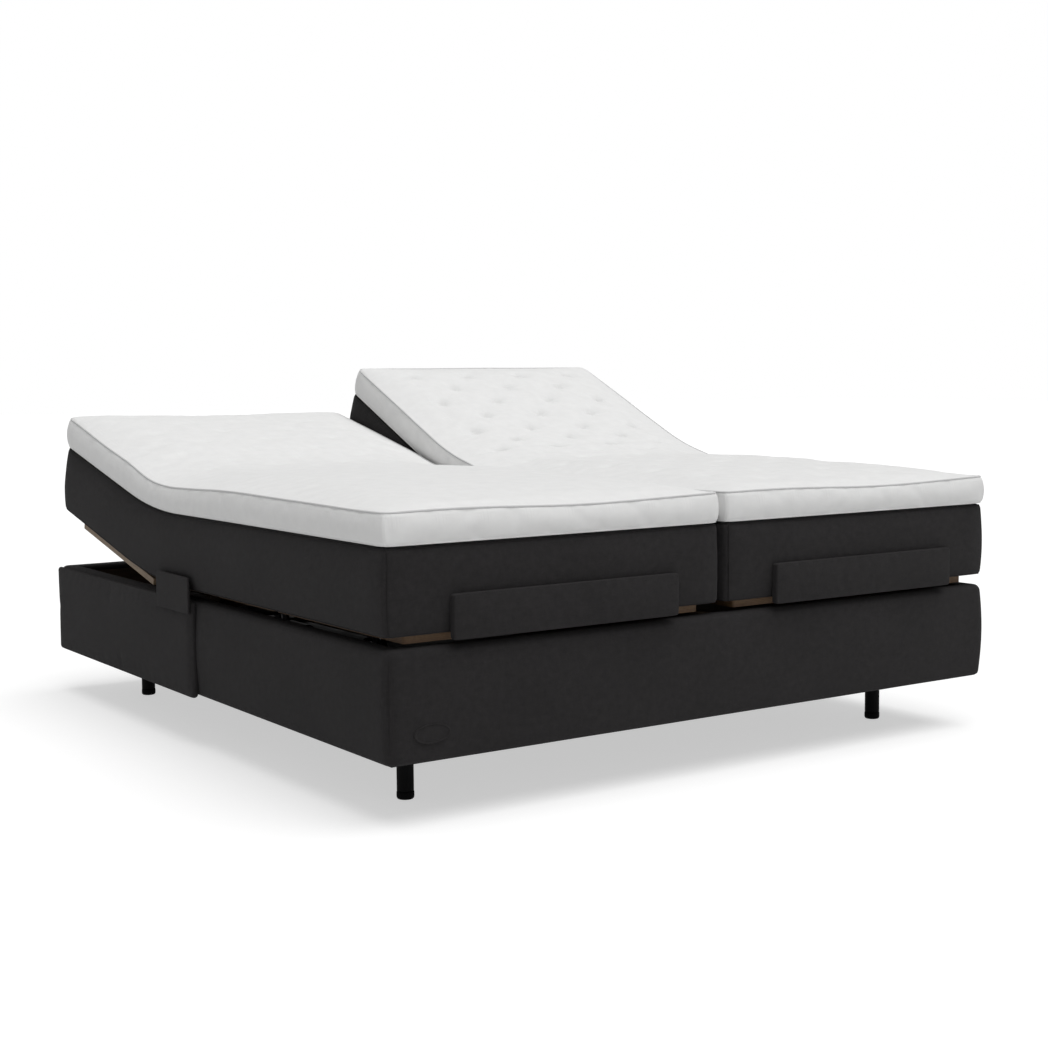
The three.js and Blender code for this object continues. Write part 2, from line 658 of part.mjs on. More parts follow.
function buildUnit(suffix, side, backAngle) {
  const unit = new THREE.Group();
  unit.position.x = side * UNIT_X;
  const deck = HINGE_INSET;
  const backLean = BACK_MAX - SEAT_LEAN_BACK + LEAN_CLEARANCE;
  const thighLean = THIGH_MAX - SEAT_LEAN_THIGH + LEAN_CLEARANCE;

  const seat = hinged(BACK_Y, PIN_Z, 0, [
    part(`seat_board_${suffix}`, seatBoard(), PLYWOOD),
    ...padding('seat', suffix, -1, { at: SOFT_START, lean: SEAT_LEAN_BACK },
      { at: SEAT_LENGTH - SOFT_START, lean: -SEAT_LEAN_THIGH }, deck),
  ]);
  const back = hinged(BACK_Y, PIN_Z, backAngle, [
    part(`back_board_${suffix}`, backBoard(), PLYWOOD),
    ...padding('back', suffix, 1, { at: SOFT_START, lean: backLean },
      { at: BACK_LENGTH, lean: 0, free: true }, deck),
  ]);
  const calf = hinged(-THIGH_LENGTH, KNEE_Z - PIN_Z, 0, [
    part(`calf_board_${suffix}`, calfBoard(), PLYWOOD),
    footPanel(`foot_panel_${suffix}`),
    ...padding('calf', suffix, -1, { at: SOFT_START, lean: 0 },
      { at: CALF_LENGTH, lean: 0, free: true }, BOARD - HINGE_INSET),
  ]);
  const thigh = hinged(THIGH_Y, PIN_Z, 0, [
    part(`thigh_board_${suffix}`, thighBoard(), PLYWOOD),
    ...padding('thigh', suffix, -1, { at: SOFT_START, lean: thighLean },
      { at: THIGH_LENGTH - SOFT_START, lean: 0 }, deck),
    calf,
  ]);
  unit.add(seat, back, thigh);
  unit.add(
    liftFrame(`back_lift_${suffix}`, BACK_LIFT, side, liftAngle(BACK_LIFT, backAngle)),
    liftFrame(`leg_lift_${suffix}`, LEG_LIFT, side, liftAngle(LEG_LIFT, 0)),
    driveBody(`back_drive_${suffix}`, BACK_LIFT),
    driveBody(`leg_drive_${suffix}`, LEG_LIFT),
    driveRod(`back_rod_${suffix}`, BACK_LIFT, backAngle),
    driveRod(`leg_rod_${suffix}`, LEG_LIFT, 0),
  );
  return unit;
}

// ---------------------------------------------------------------- assembly

const bed = new THREE.Group();
bed.add(...buildCovers());
bed.add(endRail('rail_foot', -1), endRail('rail_head', 1));
bed.add(sideRail('rail_left', -1), sideRail('rail_right', 1), centreBeam());
bed.add(...buildLegsAndBearers(), controlUnit());
bed.add(sidePanel('side_panel_left', -1), sidePanel('side_panel_right', 1));
bed.add(sideStop('side_stop_left', -1), sideStop('side_stop_right', 1));
bed.add(driveBar('drive_bar_foot', BACK_LIFT), driveBar('drive_bar_head', LEG_LIFT));
bed.add(buildUnit('left', -1, rad(BACK_REST_LEFT)), buildUnit('right', 1, rad(BACK_REST_RIGHT)));

// The foot panels stand out past the box, so the whole moves to stay centred on the origin.
bed.position.y = FOOT_PANEL / 2;

export default bed;
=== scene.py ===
"""Adjustable bed base with two sleeping units.

An upholstered box stands on four legs. Inside it are the timber, the lifts and their drives. Two
mattresses with toppers lie on hinged boards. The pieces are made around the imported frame.
"""

import json
import math
from types import SimpleNamespace

import bmesh
import bpy
import numpy as np
from mathutils import Matrix, Vector, noise


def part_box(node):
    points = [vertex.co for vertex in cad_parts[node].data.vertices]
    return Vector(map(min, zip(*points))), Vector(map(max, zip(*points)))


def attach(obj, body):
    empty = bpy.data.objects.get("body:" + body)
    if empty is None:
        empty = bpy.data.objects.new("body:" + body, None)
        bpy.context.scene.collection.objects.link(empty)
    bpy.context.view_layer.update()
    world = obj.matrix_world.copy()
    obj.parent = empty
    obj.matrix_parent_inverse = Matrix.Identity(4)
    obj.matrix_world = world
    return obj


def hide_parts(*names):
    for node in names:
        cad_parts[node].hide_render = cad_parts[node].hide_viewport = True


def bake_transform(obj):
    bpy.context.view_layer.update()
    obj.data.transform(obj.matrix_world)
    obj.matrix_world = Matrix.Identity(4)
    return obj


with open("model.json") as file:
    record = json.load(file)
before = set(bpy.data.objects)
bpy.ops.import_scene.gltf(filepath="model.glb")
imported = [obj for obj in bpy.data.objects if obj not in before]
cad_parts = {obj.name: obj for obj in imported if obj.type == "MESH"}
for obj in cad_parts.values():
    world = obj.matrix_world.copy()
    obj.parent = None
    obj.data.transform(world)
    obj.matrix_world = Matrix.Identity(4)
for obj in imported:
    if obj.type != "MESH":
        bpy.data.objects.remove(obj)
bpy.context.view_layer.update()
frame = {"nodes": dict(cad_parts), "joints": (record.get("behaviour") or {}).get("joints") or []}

bl_info = {
    "name": "Adjustable Bed Base",
    "version": (1, 0, 0),
    "blender": (4, 5, 0),
    "location": "3D View > Sidebar > Bed",
    "description": "Makes the cloth, wood and metal pieces of an adjustable bed around its frame",
    "category": "Add Mesh",
}

# ---------------------------------------------------------------- places taken from the frame

JOINTS = {joint["name"]: joint for joint in frame["joints"]}
COVERS = [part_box(f"cover_{side}") for side in ("left", "right", "foot", "head")]
COVER_LOW = [min(box[0][axis] for box in COVERS) for axis in range(3)]
COVER_HIGH = [max(box[1][axis] for box in COVERS) for axis in range(3)]
RAIL_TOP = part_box("rail_foot")[1][2]
RAIL_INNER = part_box("rail_foot")[1][1]
RAIL_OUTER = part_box("rail_foot")[0][1]
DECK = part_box("seat_board_left")[1][2]
MATTRESS_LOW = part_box("mattress_calf_left")[0]
MATTRESS_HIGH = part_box("mattress_calf_left")[1]
TOPPER_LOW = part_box("topper_calf_left")[0]
TOPPER_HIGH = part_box("topper_calf_left")[1]
BACK_HINGE_Y = JOINTS["back_hinge_left"]["pos_m"][1]
BACK_HINGE_Z = JOINTS["back_hinge_left"]["pos_m"][2]

# ---------------------------------------------------------------- sizes in metres, angles in radians

MATTRESS_HEAD = 0.965  # head end of a flat mattress
TOPPER_HEAD = 0.960
MATTRESS_CORNER = 0.020
TOPPER_CORNER = 0.026
FULLNESS = 0.010  # how far a unit's padding stands out beyond its frame on the outer side
PIPING_HEIGHT = 0.0705  # piping above the topper's underside
TOPPER_CROWN = 0.027
LEGS = ("leg_foot_left", "leg_foot_right", "leg_head_left", "leg_head_right")
HEAD_CUT = 0.055  # flat places where the padding is parted, over rigid boards
KNEE_CUT = -0.235
MATTRESS_EDGE = 0.011  # rounding of the pads' upper and lower edges
TOPPER_EDGE = 0.011
PANEL_FRONT = 0.0197  # thickness of a foot panel in front of the mattress
COVER_BULGE = 0.008  # how far the box's cover stands out in the middle of its height
SEAM_DIP = 0.0018  # how deep a corner seam of the cover lies
VENEER = 0.0018  # thickness of one veneer of the plywood
BOARD_SIDE = 0.3952  # from a unit's middle to its back board's outer side
LATH_SIDE = 0.4440  # and to the outer side of the lath beside it
PATCH_X, PATCH_Z = -0.800, 0.197  # middle of the oval patch on the foot face
UNIT_CENTRE = 0.45  # from the middle of the bed to the middle of a unit


def sleeping_unit(name, out, **sizes):
    """Sizes of one unit. Out is the side of the bed that it lies on.

    The padding turns up at pad_corner by pad_angle, within pad_reach before and after it, and the
    boards' side of it within board_reach. Swell thickens the topper over the back from swell_from
    on, fluff lifts its corner, and seam is how far a mattress seam lies from the corner.
    """
    lowest = JOINTS[f"back_hinge_{name}"]["range_deg"][0]
    return SimpleNamespace(name=name, out=out, x=out * UNIT_CENTRE, angle=math.radians(-lowest), **sizes)


UNITS = {
    "left": sleeping_unit(
        "left", -1, pad_angle=math.radians(12.9), pad_corner=0.272, pad_reach=0.19, board_reach=0.21,
        swell=0.013, swell_from=0.25, fluff=0.006, tuft_depth=0.0040, seam=0.002, seed=3.0,
    ),
    "right": sleeping_unit(
        "right", 1, pad_angle=math.radians(24.6), pad_corner=0.215, pad_reach=0.24, board_reach=0.12,
        swell=0.014, swell_from=-0.02, fluff=0.0, tuft_depth=0.0190, seam=0.024, seed=11.0,
    ),
}

# name, lowest and highest flat place, bodies, and where the bend between them starts and ends
SECTIONS = (
    SimpleNamespace(name="head", low=HEAD_CUT, high=9.0, bodies=("back_{}", "base"), start=0.49, end=0.062,
                    nodes=("back",)),
    SimpleNamespace(name="middle", low=KNEE_CUT, high=HEAD_CUT, bodies=("base", "thigh_{}"), start=0.045,
                    end=-0.225, nodes=("seat", "thigh")),
    SimpleNamespace(name="foot", low=-9.0, high=KNEE_CUT, bodies=("thigh_{}", "calf_{}"), start=-0.245,
                    end=-0.49, nodes=("calf",)),
)


def length_property(label, about, value, lowest, highest):
    """A length that shows in the sidebar."""
    return bpy.props.FloatProperty(
        name=label, description=about, default=value, min=lowest, max=highest, unit="LENGTH"
    )


class BedSizes(bpy.types.PropertyGroup):
    """Sizes of the bed's trim that a user may change."""

    piping_radius: length_property(
        "Piping radius", "Radius of the piping round each topper", 0.0026, 0.001, 0.006
    )
    stitch_pitch: length_property("Stitch pitch", "Length from one stitch to the next", 0.0065, 0.003, 0.02)
    tuft_spacing: length_property("Tuft spacing", "Distance between the tufts across a topper", 0.2, 0.1, 0.3)
    corner_radius: length_property(
        "Box corner radius", "Radius of the upholstered box's upright corners", 0.024, 0.01, 0.06
    )
    edge_radius: length_property(
        "Box edge radius", "Radius of the upholstered box's upper edge", 0.016, 0.005, 0.02
    )
    leg_radius: length_property("Leg radius", "Radius of a leg's tube", 0.0192, 0.012, 0.02)
    screw_radius: length_property("Screw radius", "Radius of a screw's head", 0.0045, 0.002, 0.008)


def colour_property(label, about, value):
    """A colour that shows as a swatch in the sidebar."""
    return bpy.props.FloatVectorProperty(
        name=label, description=about, subtype="COLOR", size=3, min=0.0, max=1.0, default=value
    )


class BedColours(bpy.types.PropertyGroup):
    """Colours of the bed's cloth, wood and metal."""

    charcoal_dark: colour_property("Charcoal, dark", "Darker threads of the box cloth", (0.0125, 0.0115, 0.0120))
    charcoal_light: colour_property("Charcoal, light", "Lighter threads of the box cloth", (0.0285, 0.0262, 0.0270))
    white: colour_property("Topper cloth", "Knitted cloth of the toppers", (0.80, 0.80, 0.795))
    piping: colour_property("Piping", "Piping round the toppers", (0.60, 0.60, 0.60))
    ply_light: colour_property("Plywood, light", "Light veneers of the boards", (0.36, 0.27, 0.18))
    ply_dark: colour_property("Plywood, dark", "Dark veneers and glue lines of the boards", (0.15, 0.098, 0.060))
    # This timber colour is far darker than sawn softwood: painted shade of the inside of the box.
    timber: colour_property("Timber", "Sawn timber inside the box", (0.085, 0.060, 0.042))
    steel: colour_property("Powder coat", "Grey powder coat of the lifts", (0.090, 0.093, 0.098))
    black: colour_property("Black", "Black of legs and drives", (0.0025, 0.0025, 0.0028))


# ---------------------------------------------------------------- node helpers


def node(tree, kind, inputs=None, **settings):
    """Adds a node. An input is a value, or a socket that it is linked to."""
    made = tree.nodes.new(kind)
    for key, value in settings.items():
        setattr(made, key, value)
    for key, value in (inputs or {}).items():
        if isinstance(value, bpy.types.NodeSocket):
            tree.links.new(value, made.inputs[key])
        else:
            made.inputs[key].default_value = value
    return made


def maths(tree, operation, *values):
    """Output socket of a Math node."""
    return node(tree, "ShaderNodeMath", dict(enumerate(values)), operation=operation).outputs[0]


def blend_colour(tree, factor, first, second):
    """Output socket of a Mix node on colours."""
    return node(tree, "ShaderNodeMix", {0: factor, 6: first, 7: second}, data_type="RGBA").outputs[2]


def scaled(tree, vector, amount):
    """Output socket of a vector or a colour times a number."""
    return node(tree, "ShaderNodeVectorMath", {0: vector, "Scale": amount}, operation="SCALE").outputs[0]


def stretched(tree, vector, amounts):
    """Output socket of a vector times a number for each axis."""
    return node(tree, "ShaderNodeVectorMath", {0: vector, 1: amounts}, operation="MULTIPLY").outputs[0]


def spread(tree, value, low, high, new_low=0.0, new_high=1.0):
    """Output socket of a Map Range node."""
    inputs = {"Value": value, "From Min": low, "From Max": high, "To Min": new_low, "To Max": new_high}
    return node(tree, "ShaderNodeMapRange", inputs).outputs[0]


def noise_texture(tree, vector, scale, detail=3.0, roughness=0.55):
    """Factor socket of a Noise Texture node."""
    inputs = {"Vector": vector, "Scale": scale, "Detail": detail, "Roughness": roughness}
    return node(tree, "ShaderNodeTexNoise", inputs).outputs["Fac"]


FLOAT = "NodeSocketFloat"
COLOUR = "NodeSocketColor"
VECTOR = "NodeSocketVector"


def add_inputs(tree, inputs):
    """Gives a node tree its named inputs: label, kind of socket and value."""
    for label, kind, value in inputs:
        socket = tree.interface.new_socket(name=label, in_out="INPUT", socket_type=kind)
        if value is not None:
            socket.default_value = value


def shader_group(name, inputs):
    """An empty node group of a surface: gives the tree, its inputs and its outputs."""
    tree = bpy.data.node_groups.new(name, "ShaderNodeTree")
    add_inputs(tree, inputs)
    for label, kind in (("Colour", COLOUR), ("Height", FLOAT), ("Roughness", FLOAT)):
        tree.interface.new_socket(name=label, in_out="OUTPUT", socket_type=kind)
    source = tree.nodes.new("NodeGroupInput")
    sink = tree.nodes.new("NodeGroupOutput")
    return tree, source.outputs, sink.inputs


def end_group(tree, made, colour, height, roughness):
    """Links the results of a surface's node group."""
    for label, result in (("Colour", colour), ("Height", height), ("Roughness", roughness)):
        tree.links.new(result, made[label])
    return tree


def rgba(colour, strength=1.0):
    """A colour with an alpha of 1."""
    return (colour[0] * strength, colour[1] * strength, colour[2] * strength, 1.0)


# ---------------------------------------------------------------- shared surface effects


def weave_group():
    """Plain weave of melange threads, on a vector in metres."""
    tree, given, made = shader_group(
        "Melange weave",
        [("Vector", VECTOR, None), ("Threads per metre", FLOAT, 620.0), ("Dark", COLOUR, (0, 0, 0, 1)),
         ("Light", COLOUR, (1, 1, 1, 1)), ("Mottle", FLOAT, 0.35)],
    )
    threads = scaled(tree, given["Vector"], given["Threads per metre"])
    parts = node(tree, "ShaderNodeSeparateXYZ", {0: threads}).outputs
    warp_wave = maths(tree, "SINE", maths(tree, "MULTIPLY", parts[0], math.pi))
    weft_wave = maths(tree, "SINE", maths(tree, "MULTIPLY", parts[1], math.pi))
    over = maths(tree, "GREATER_THAN", maths(tree, "MULTIPLY", warp_wave, weft_wave), 0.0)
    warp_high = maths(tree, "ABSOLUTE", warp_wave)
    weft_high = maths(tree, "ABSOLUTE", weft_wave)
    height = node(tree, "ShaderNodeMix", {0: over, 2: weft_high, 3: warp_high}).outputs[0]

    def tone(along_u, along_v):
        return noise_texture(tree, stretched(tree, threads, (along_u, along_v, 0.0)), 1.0, 2.0, 0.7)

    thread_tone = node(tree, "ShaderNodeMix", {0: over, 2: tone(0.055, 0.8), 3: tone(0.8, 0.055)}).outputs[0]
    mottle = noise_texture(tree, given["Vector"], 55.0, 4.0, 0.65)
    cloudy = noise_texture(tree, given["Vector"], 4.5, 2.0, 0.5)
    both = node(tree, "ShaderNodeMix", {0: given["Mottle"], 2: thread_tone, 3: mottle}).outputs[0]
    factor = spread(tree, both, 0.32, 0.70)
    colour = blend_colour(tree, factor, given["Dark"], given["Light"])
    shade = spread(tree, cloudy, 0.3, 0.7, 0.90, 1.08)
    roughness = spread(tree, thread_tone, 0.3, 0.7, 0.82, 0.96)
    return end_group(tree, made, scaled(tree, colour, shade), height, roughness)


def knit_group():
    """White knitted cover with a faint woven-in motif, on a vector in metres."""
    tree, given, made = shader_group(
        "Knitted cover",
        [("Vector", VECTOR, None), ("Loops per metre", FLOAT, 420.0), ("Colour", COLOUR, (1, 1, 1, 1)),
         ("Motif", FLOAT, 0.5)],
    )
    loops = scaled(tree, given["Vector"], given["Loops per metre"])
    parts = node(tree, "ShaderNodeSeparateXYZ", {0: loops}).outputs
    slant = maths(tree, "PINGPONG", parts[0], 1.0)
    column = maths(tree, "SINE", maths(tree, "MULTIPLY", parts[0], math.tau))
    row = maths(tree, "SINE", maths(tree, "MULTIPLY", maths(tree, "ADD", parts[1], slant), math.tau))
    stitch = maths(tree, "MULTIPLY", maths(tree, "ADD", maths(tree, "MULTIPLY", column, row), 1.0), 0.5)
    metres = node(tree, "ShaderNodeSeparateXYZ", {0: given["Vector"]}).outputs
    across = maths(tree, "PINGPONG", metres[0], 0.055)
    along = maths(tree, "PINGPONG", metres[1], 0.055)
    bars = maths(tree, "SINE", maths(tree, "MULTIPLY", maths(tree, "MINIMUM", across, along), 900.0))
    diamond = spread(tree, maths(tree, "ADD", across, along), 0.030, 0.040, 1.0, 0.0)
    motif = maths(tree, "MULTIPLY", maths(tree, "MULTIPLY", bars, diamond), given["Motif"])
    soft = noise_texture(tree, given["Vector"], 26.0, 3.0, 0.6)
    height = maths(tree, "ADD", maths(tree, "MULTIPLY", stitch, 0.35),
                   maths(tree, "ADD", maths(tree, "MULTIPLY", motif, 0.8), soft))
    shade = maths(tree, "ADD", spread(tree, soft, 0.3, 0.7, 0.97, 1.02), maths(tree, "MULTIPLY", motif, 0.045))
    roughness = spread(tree, stitch, 0.0, 1.0, 0.80, 0.92)
    return end_group(tree, made, scaled(tree, given["Colour"], shade), height, roughness)


def grain_group():
    """Wood grain that runs along X, on a vector in metres."""
    tree, given, made = shader_group(
        "Wood grain",
        [("Vector", VECTOR, None), ("Dark", COLOUR, (0, 0, 0, 1)), ("Light", COLOUR, (1, 1, 1, 1)),
         ("Fineness", FLOAT, 1.0)],
    )
    sized = scaled(tree, given["Vector"], given["Fineness"])
    figure = noise_texture(tree, stretched(tree, sized, (6.0, 120.0, 120.0)), 1.0, 4.0, 0.6)
    fine = noise_texture(tree, stretched(tree, sized, (40.0, 900.0, 900.0)), 1.0, 2.0, 0.5)
    patches = noise_texture(tree, given["Vector"], 5.0, 2.0, 0.5)
    mixed = maths(tree, "ADD", maths(tree, "MULTIPLY", figure, 0.6),
                  maths(tree, "ADD", maths(tree, "MULTIPLY", fine, 0.2), maths(tree, "MULTIPLY", patches, 0.3)))
    colour = blend_colour(tree, spread(tree, mixed, 0.35, 0.72), given["Dark"], given["Light"])
    height = maths(tree, "ADD", figure, maths(tree, "MULTIPLY", fine, 0.5))
    return end_group(tree, made, colour, height, spread(tree, fine, 0.3, 0.7, 0.42, 0.62))


def wear_group():
    """Fine texture, dust and rubbed spots of a coated or moulded surface, on a vector in metres."""
    tree, given, made = shader_group(
        "Coat and dust",
        [("Vector", VECTOR, None), ("Colour", COLOUR, (0, 0, 0, 1)), ("Dust", FLOAT, 0.15),
         ("Roughness", FLOAT, 0.45), ("Grain per metre", FLOAT, 900.0)],
    )
    fine = noise_texture(tree, given["Vector"], given["Grain per metre"], 2.0, 0.5)
    patchy = noise_texture(tree, given["Vector"], 14.0, 4.0, 0.65)
    dusty = maths(tree, "MULTIPLY", spread(tree, patchy, 0.45, 0.75), given["Dust"])
    colour = blend_colour(tree, dusty, given["Colour"], (0.32, 0.30, 0.28, 1.0))
    height = maths(tree, "ADD", fine, maths(tree, "MULTIPLY", patchy, 0.3))
    roughness = maths(tree, "ADD", given["Roughness"], spread(tree, patchy, 0.3, 0.7, -0.06, 0.10))
    return end_group(tree, made, colour, height, roughness)


# ---------------------------------------------------------------- materials

GROUPS = {}
MATERIALS = {}


def shared(maker):
    """The node group that a function makes, made once."""
    if maker.__name__ not in GROUPS:
        GROUPS[maker.__name__] = maker()
    return GROUPS[maker.__name__]


def new_material(name):
    """A material with a Principled BSDF: gives the material, its tree and the shader."""
    material = bpy.data.materials.new(name)
    material.use_nodes = True
    tree = material.node_tree
    tree.nodes.clear()
    shader = node(tree, "ShaderNodeBsdfPrincipled")
    node(tree, "ShaderNodeOutputMaterial", {"Surface": shader.outputs[0]})
    MATERIALS[name] = material
    return material, tree, shader


def in_metres(tree):
    """The piece's own place, in metres."""
    return node(tree, "ShaderNodeTexCoord").outputs["Object"]


def on_cloth(tree):
    """The place on the piece's cloth, in metres."""
    return node(tree, "ShaderNodeUVMap", uv_map="cloth").outputs[0]


def group_node(tree, maker, inputs):
    """Places a shared group in a material, with its own values."""
    return node(tree, "ShaderNodeGroup", inputs, node_tree=shared(maker))


def finish_surface(tree, shader, group, bump, distance, colour=None):
    """Links a group's colour, or another one, and its roughness and height to the shader."""
    lifted = node(tree, "ShaderNodeBump",
                  {"Height": group.outputs["Height"], "Strength": bump, "Distance": distance})
    tree.links.new(colour or group.outputs["Colour"], shader.inputs["Base Color"])
    tree.links.new(group.outputs["Roughness"], shader.inputs["Roughness"])
    tree.links.new(lifted.outputs[0], shader.inputs["Normal"])


def cloth_material(name, dark, light, threads=620.0, mottle=0.35):
    """Charcoal melange cloth, woven on the piece's UV map in metres."""
    material, tree, shader = new_material(name)
    weave = group_node(tree, weave_group, {
        "Vector": on_cloth(tree), "Threads per metre": threads, "Dark": rgba(dark), "Light": rgba(light),
        "Mottle": mottle,
    })
    finish_surface(tree, shader, weave, 0.55, 0.0006)
    shader.inputs["Specular IOR Level"].default_value = 0.20
    shader.inputs["Sheen Weight"].default_value = 0.03
    shader.inputs["Sheen Roughness"].default_value = 0.6
    return material


def knit_material(name, colour, motif):
    """White knitted topper cloth on the piece's UV map in metres."""
    material, tree, shader = new_material(name)
    knit = group_node(tree, knit_group, {"Vector": on_cloth(tree), "Colour": rgba(colour), "Motif": motif})
    finish_surface(tree, shader, knit, 0.24, 0.0008)
    shader.inputs["Specular IOR Level"].default_value = 0.2
    shader.inputs["Sheen Weight"].default_value = 0.1
    shader.inputs["Sheen Roughness"].default_value = 0.5
    return material


def plywood_material(name, colours, angle, hinge, painted_shade=(1.0, 1.0, 1.0)):
    """Birch plywood as a solid of crossed veneers that is turned with its board. The last argument scales the
    veneer colours; below 1 it darkens them as painted shade.
    """
    dark, light = ([value * part for value, part in zip(colour, painted_shade)]
                   for colour in (colours.ply_dark, colours.ply_light))
    material, tree, shader = new_material(name)
    turned = node(tree, "ShaderNodeMapping", {
        "Vector": in_metres(tree), "Location": hinge, "Rotation": (angle, 0.0, 0.0),
    }, vector_type="TEXTURE").outputs[0]
    parts = node(tree, "ShaderNodeSeparateXYZ", {0: turned}).outputs
    layer = maths(tree, "PINGPONG", maths(tree, "MULTIPLY", parts[2], 1.0 / VENEER), 1.0)
    crossed = node(tree, "ShaderNodeMapping", {"Vector": turned, "Rotation": (0.0, 0.0, math.pi / 2)}).outputs[0]
    inputs = {"Dark": rgba(dark), "Light": rgba(light)}
    long_grain = group_node(tree, grain_group, {"Vector": turned, **inputs})
    cross_grain = group_node(tree, grain_group, {"Vector": crossed, **inputs})
    over = spread(tree, layer, 0.42, 0.58)
    colour = blend_colour(tree, over, cross_grain.outputs["Colour"], long_grain.outputs["Colour"])
    glue = spread(tree, maths(tree, "ABSOLUTE", maths(tree, "SUBTRACT", layer, 0.5)), 0.03, 0.12, 0.55, 0.0)
    shaded = blend_colour(tree, glue, colour, rgba(dark, 0.7))
    darker = spread(tree, over, 0.0, 1.0, 0.78, 1.0)
    finish_surface(tree, shader, long_grain, 0.25, 0.0004, scaled(tree, shaded, darker))
    shader.inputs["Specular IOR Level"].default_value = 0.3
    return material


def timber_material(name, colour, turn=0.0):
    """Sawn softwood with its grain along X, or along Y with a quarter turn."""
    material, tree, shader = new_material(name)
    turned = node(tree, "ShaderNodeMapping", {"Vector": in_metres(tree), "Rotation": (0.0, 0.0, turn)}).outputs[0]
    grain = group_node(tree, grain_group, {
        "Vector": turned, "Dark": rgba(colour, 0.62), "Light": rgba(colour, 1.15), "Fineness": 0.7,
    })
    finish_surface(tree, shader, grain, 0.5, 0.0008)
    shader.inputs["Specular IOR Level"].default_value = 0.3
    return material


def coated_material(name, colour, roughness, dust, grain, metal=0.0, shine=0.5, bump=0.25, depth=0.0003):
    """Powder coat, moulded plastic, plated steel or cord, with fine texture and a little dust."""
    material, tree, shader = new_material(name)
    coat = group_node(tree, wear_group, {
        "Vector": in_metres(tree), "Colour": rgba(colour), "Dust": dust, "Roughness": roughness,
        "Grain per metre": grain,
    })
    finish_surface(tree, shader, coat, bump, depth)
    shader.inputs["Metallic"].default_value = metal
    shader.inputs["Specular IOR Level"].default_value = shine
    return material


def make_materials(colours):
    """Every finish of the bed."""
    cloth_material("charcoal cloth", colours.charcoal_dark, colours.charcoal_light)
    cloth_material("mattress cloth", colours.charcoal_dark, colours.charcoal_light, 640.0, 0.4)
    knit_material("topper knit", colours.white, 0.35)
    dark_thread = tuple(0.6 * value for value in colours.charcoal_light)
    for name, colour in (("topper piping", colours.piping), ("topper thread", colours.white),
                         ("charcoal thread", dark_thread)):
        coated_material(name, colour, 0.8, 0.0, 700.0, shine=0.2, bump=0.5, depth=0.0006)
    # The boards that lie flat are a darker, browner copy of the same plywood: painted shade.
    plywood_material("plywood", colours, 0.0, (0.0, BACK_HINGE_Y, DECK), painted_shade=(0.62, 0.50, 0.38))
    for unit in UNITS.values():
        plywood_material(f"plywood back {unit.name}", colours, unit.angle, (0.0, BACK_HINGE_Y, BACK_HINGE_Z))
    timber_material("timber across", colours.timber)
    timber_material("timber along", colours.timber, math.pi / 2)
    coated_material("grey powder coat", colours.steel, 0.42, 0.12, 1400.0)
    coated_material("plated steel", (0.55, 0.55, 0.56), 0.28, 0.05, 600.0, 1.0)
    coated_material("black powder coat", colours.black, 0.55, 0.0, 1200.0, shine=0.12)
    coated_material("leg glide", colours.black, 0.6, 0.0, 1200.0, shine=0.10)
    coated_material("bottom cloth", (0.012, 0.012, 0.012), 0.9, 0.05, 2500.0)
    coated_material("black plastic", tuple(1.4 * value for value in colours.black), 0.5, 0.10, 1800.0)


# ---------------------------------------------------------------- mesh helpers


def new_object(name, mesh, material=None):
    """Adds an object at the origin."""
    made = bpy.data.objects.new(name, mesh)
    bpy.context.collection.objects.link(made)
    if material:
        mesh.materials.clear()
        mesh.materials.append(MATERIALS[material])
    return made


def mesh_from(name, points, faces=(), edges=()):
    """A mesh from points and faces, smooth."""
    mesh = bpy.data.meshes.new(name)
    mesh.from_pydata([tuple(point) for point in points], [tuple(edge) for edge in edges],
                     [tuple(face) for face in faces])
    if faces:
        mesh.polygons.foreach_set("use_smooth", [True] * len(mesh.polygons))
    mesh.update()
    return mesh


def ring_faces(rings, segments, closed=False):
    """Quads between rings of points, one ring after the other, and back to the first where closed."""
    faces = []
    for ring in range(rings if closed else rings - 1):
        this, after = ring * segments, (ring + 1) % rings * segments
        for step in range(segments):
            beside = (step + 1) % segments
            faces.append((this + step, this + beside, after + beside, after + step))
    return faces


def points_of(mesh):
    """A mesh's points as an array."""
    flat = np.empty(len(mesh.vertices) * 3)
    mesh.vertices.foreach_get("co", flat)
    return flat.reshape(-1, 3)


def set_points(mesh, points):
    """Moves a mesh's points."""
    mesh.vertices.foreach_set("co", np.asarray(points, float).ravel())
    mesh.update()


def fix_normals(mesh, merge=0.00005):
    """Merges doubled points and turns every face outwards."""
    work = bmesh.new()
    work.from_mesh(mesh)
    bmesh.ops.remove_doubles(work, verts=work.verts[:], dist=merge)
    bmesh.ops.recalc_face_normals(work, faces=work.faces[:])
    work.to_mesh(mesh)
    work.free()


def evaluated_mesh(piece):
    """A plain mesh of the object with its modifiers."""
    graph = bpy.context.evaluated_depsgraph_get()
    return bpy.data.meshes.new_from_object(piece.evaluated_get(graph), depsgraph=graph)


def remove(piece):
    """Removes an object and its mesh."""
    mesh = piece.data
    bpy.data.objects.remove(piece)
    bpy.data.meshes.remove(mesh)


def smooth_step(values):
    """Goes from 0 to 1 with level ends."""
    t = np.clip(values, 0.0, 1.0)
    return t * t * (3.0 - 2.0 * t)


def wave(points, scale, seed):
    """Smooth noise from about -1 to 1 at each point."""
    return np.array([noise.noise(Vector((p[0] * scale + seed, p[1] * scale, p[2] * scale))) for p in points])


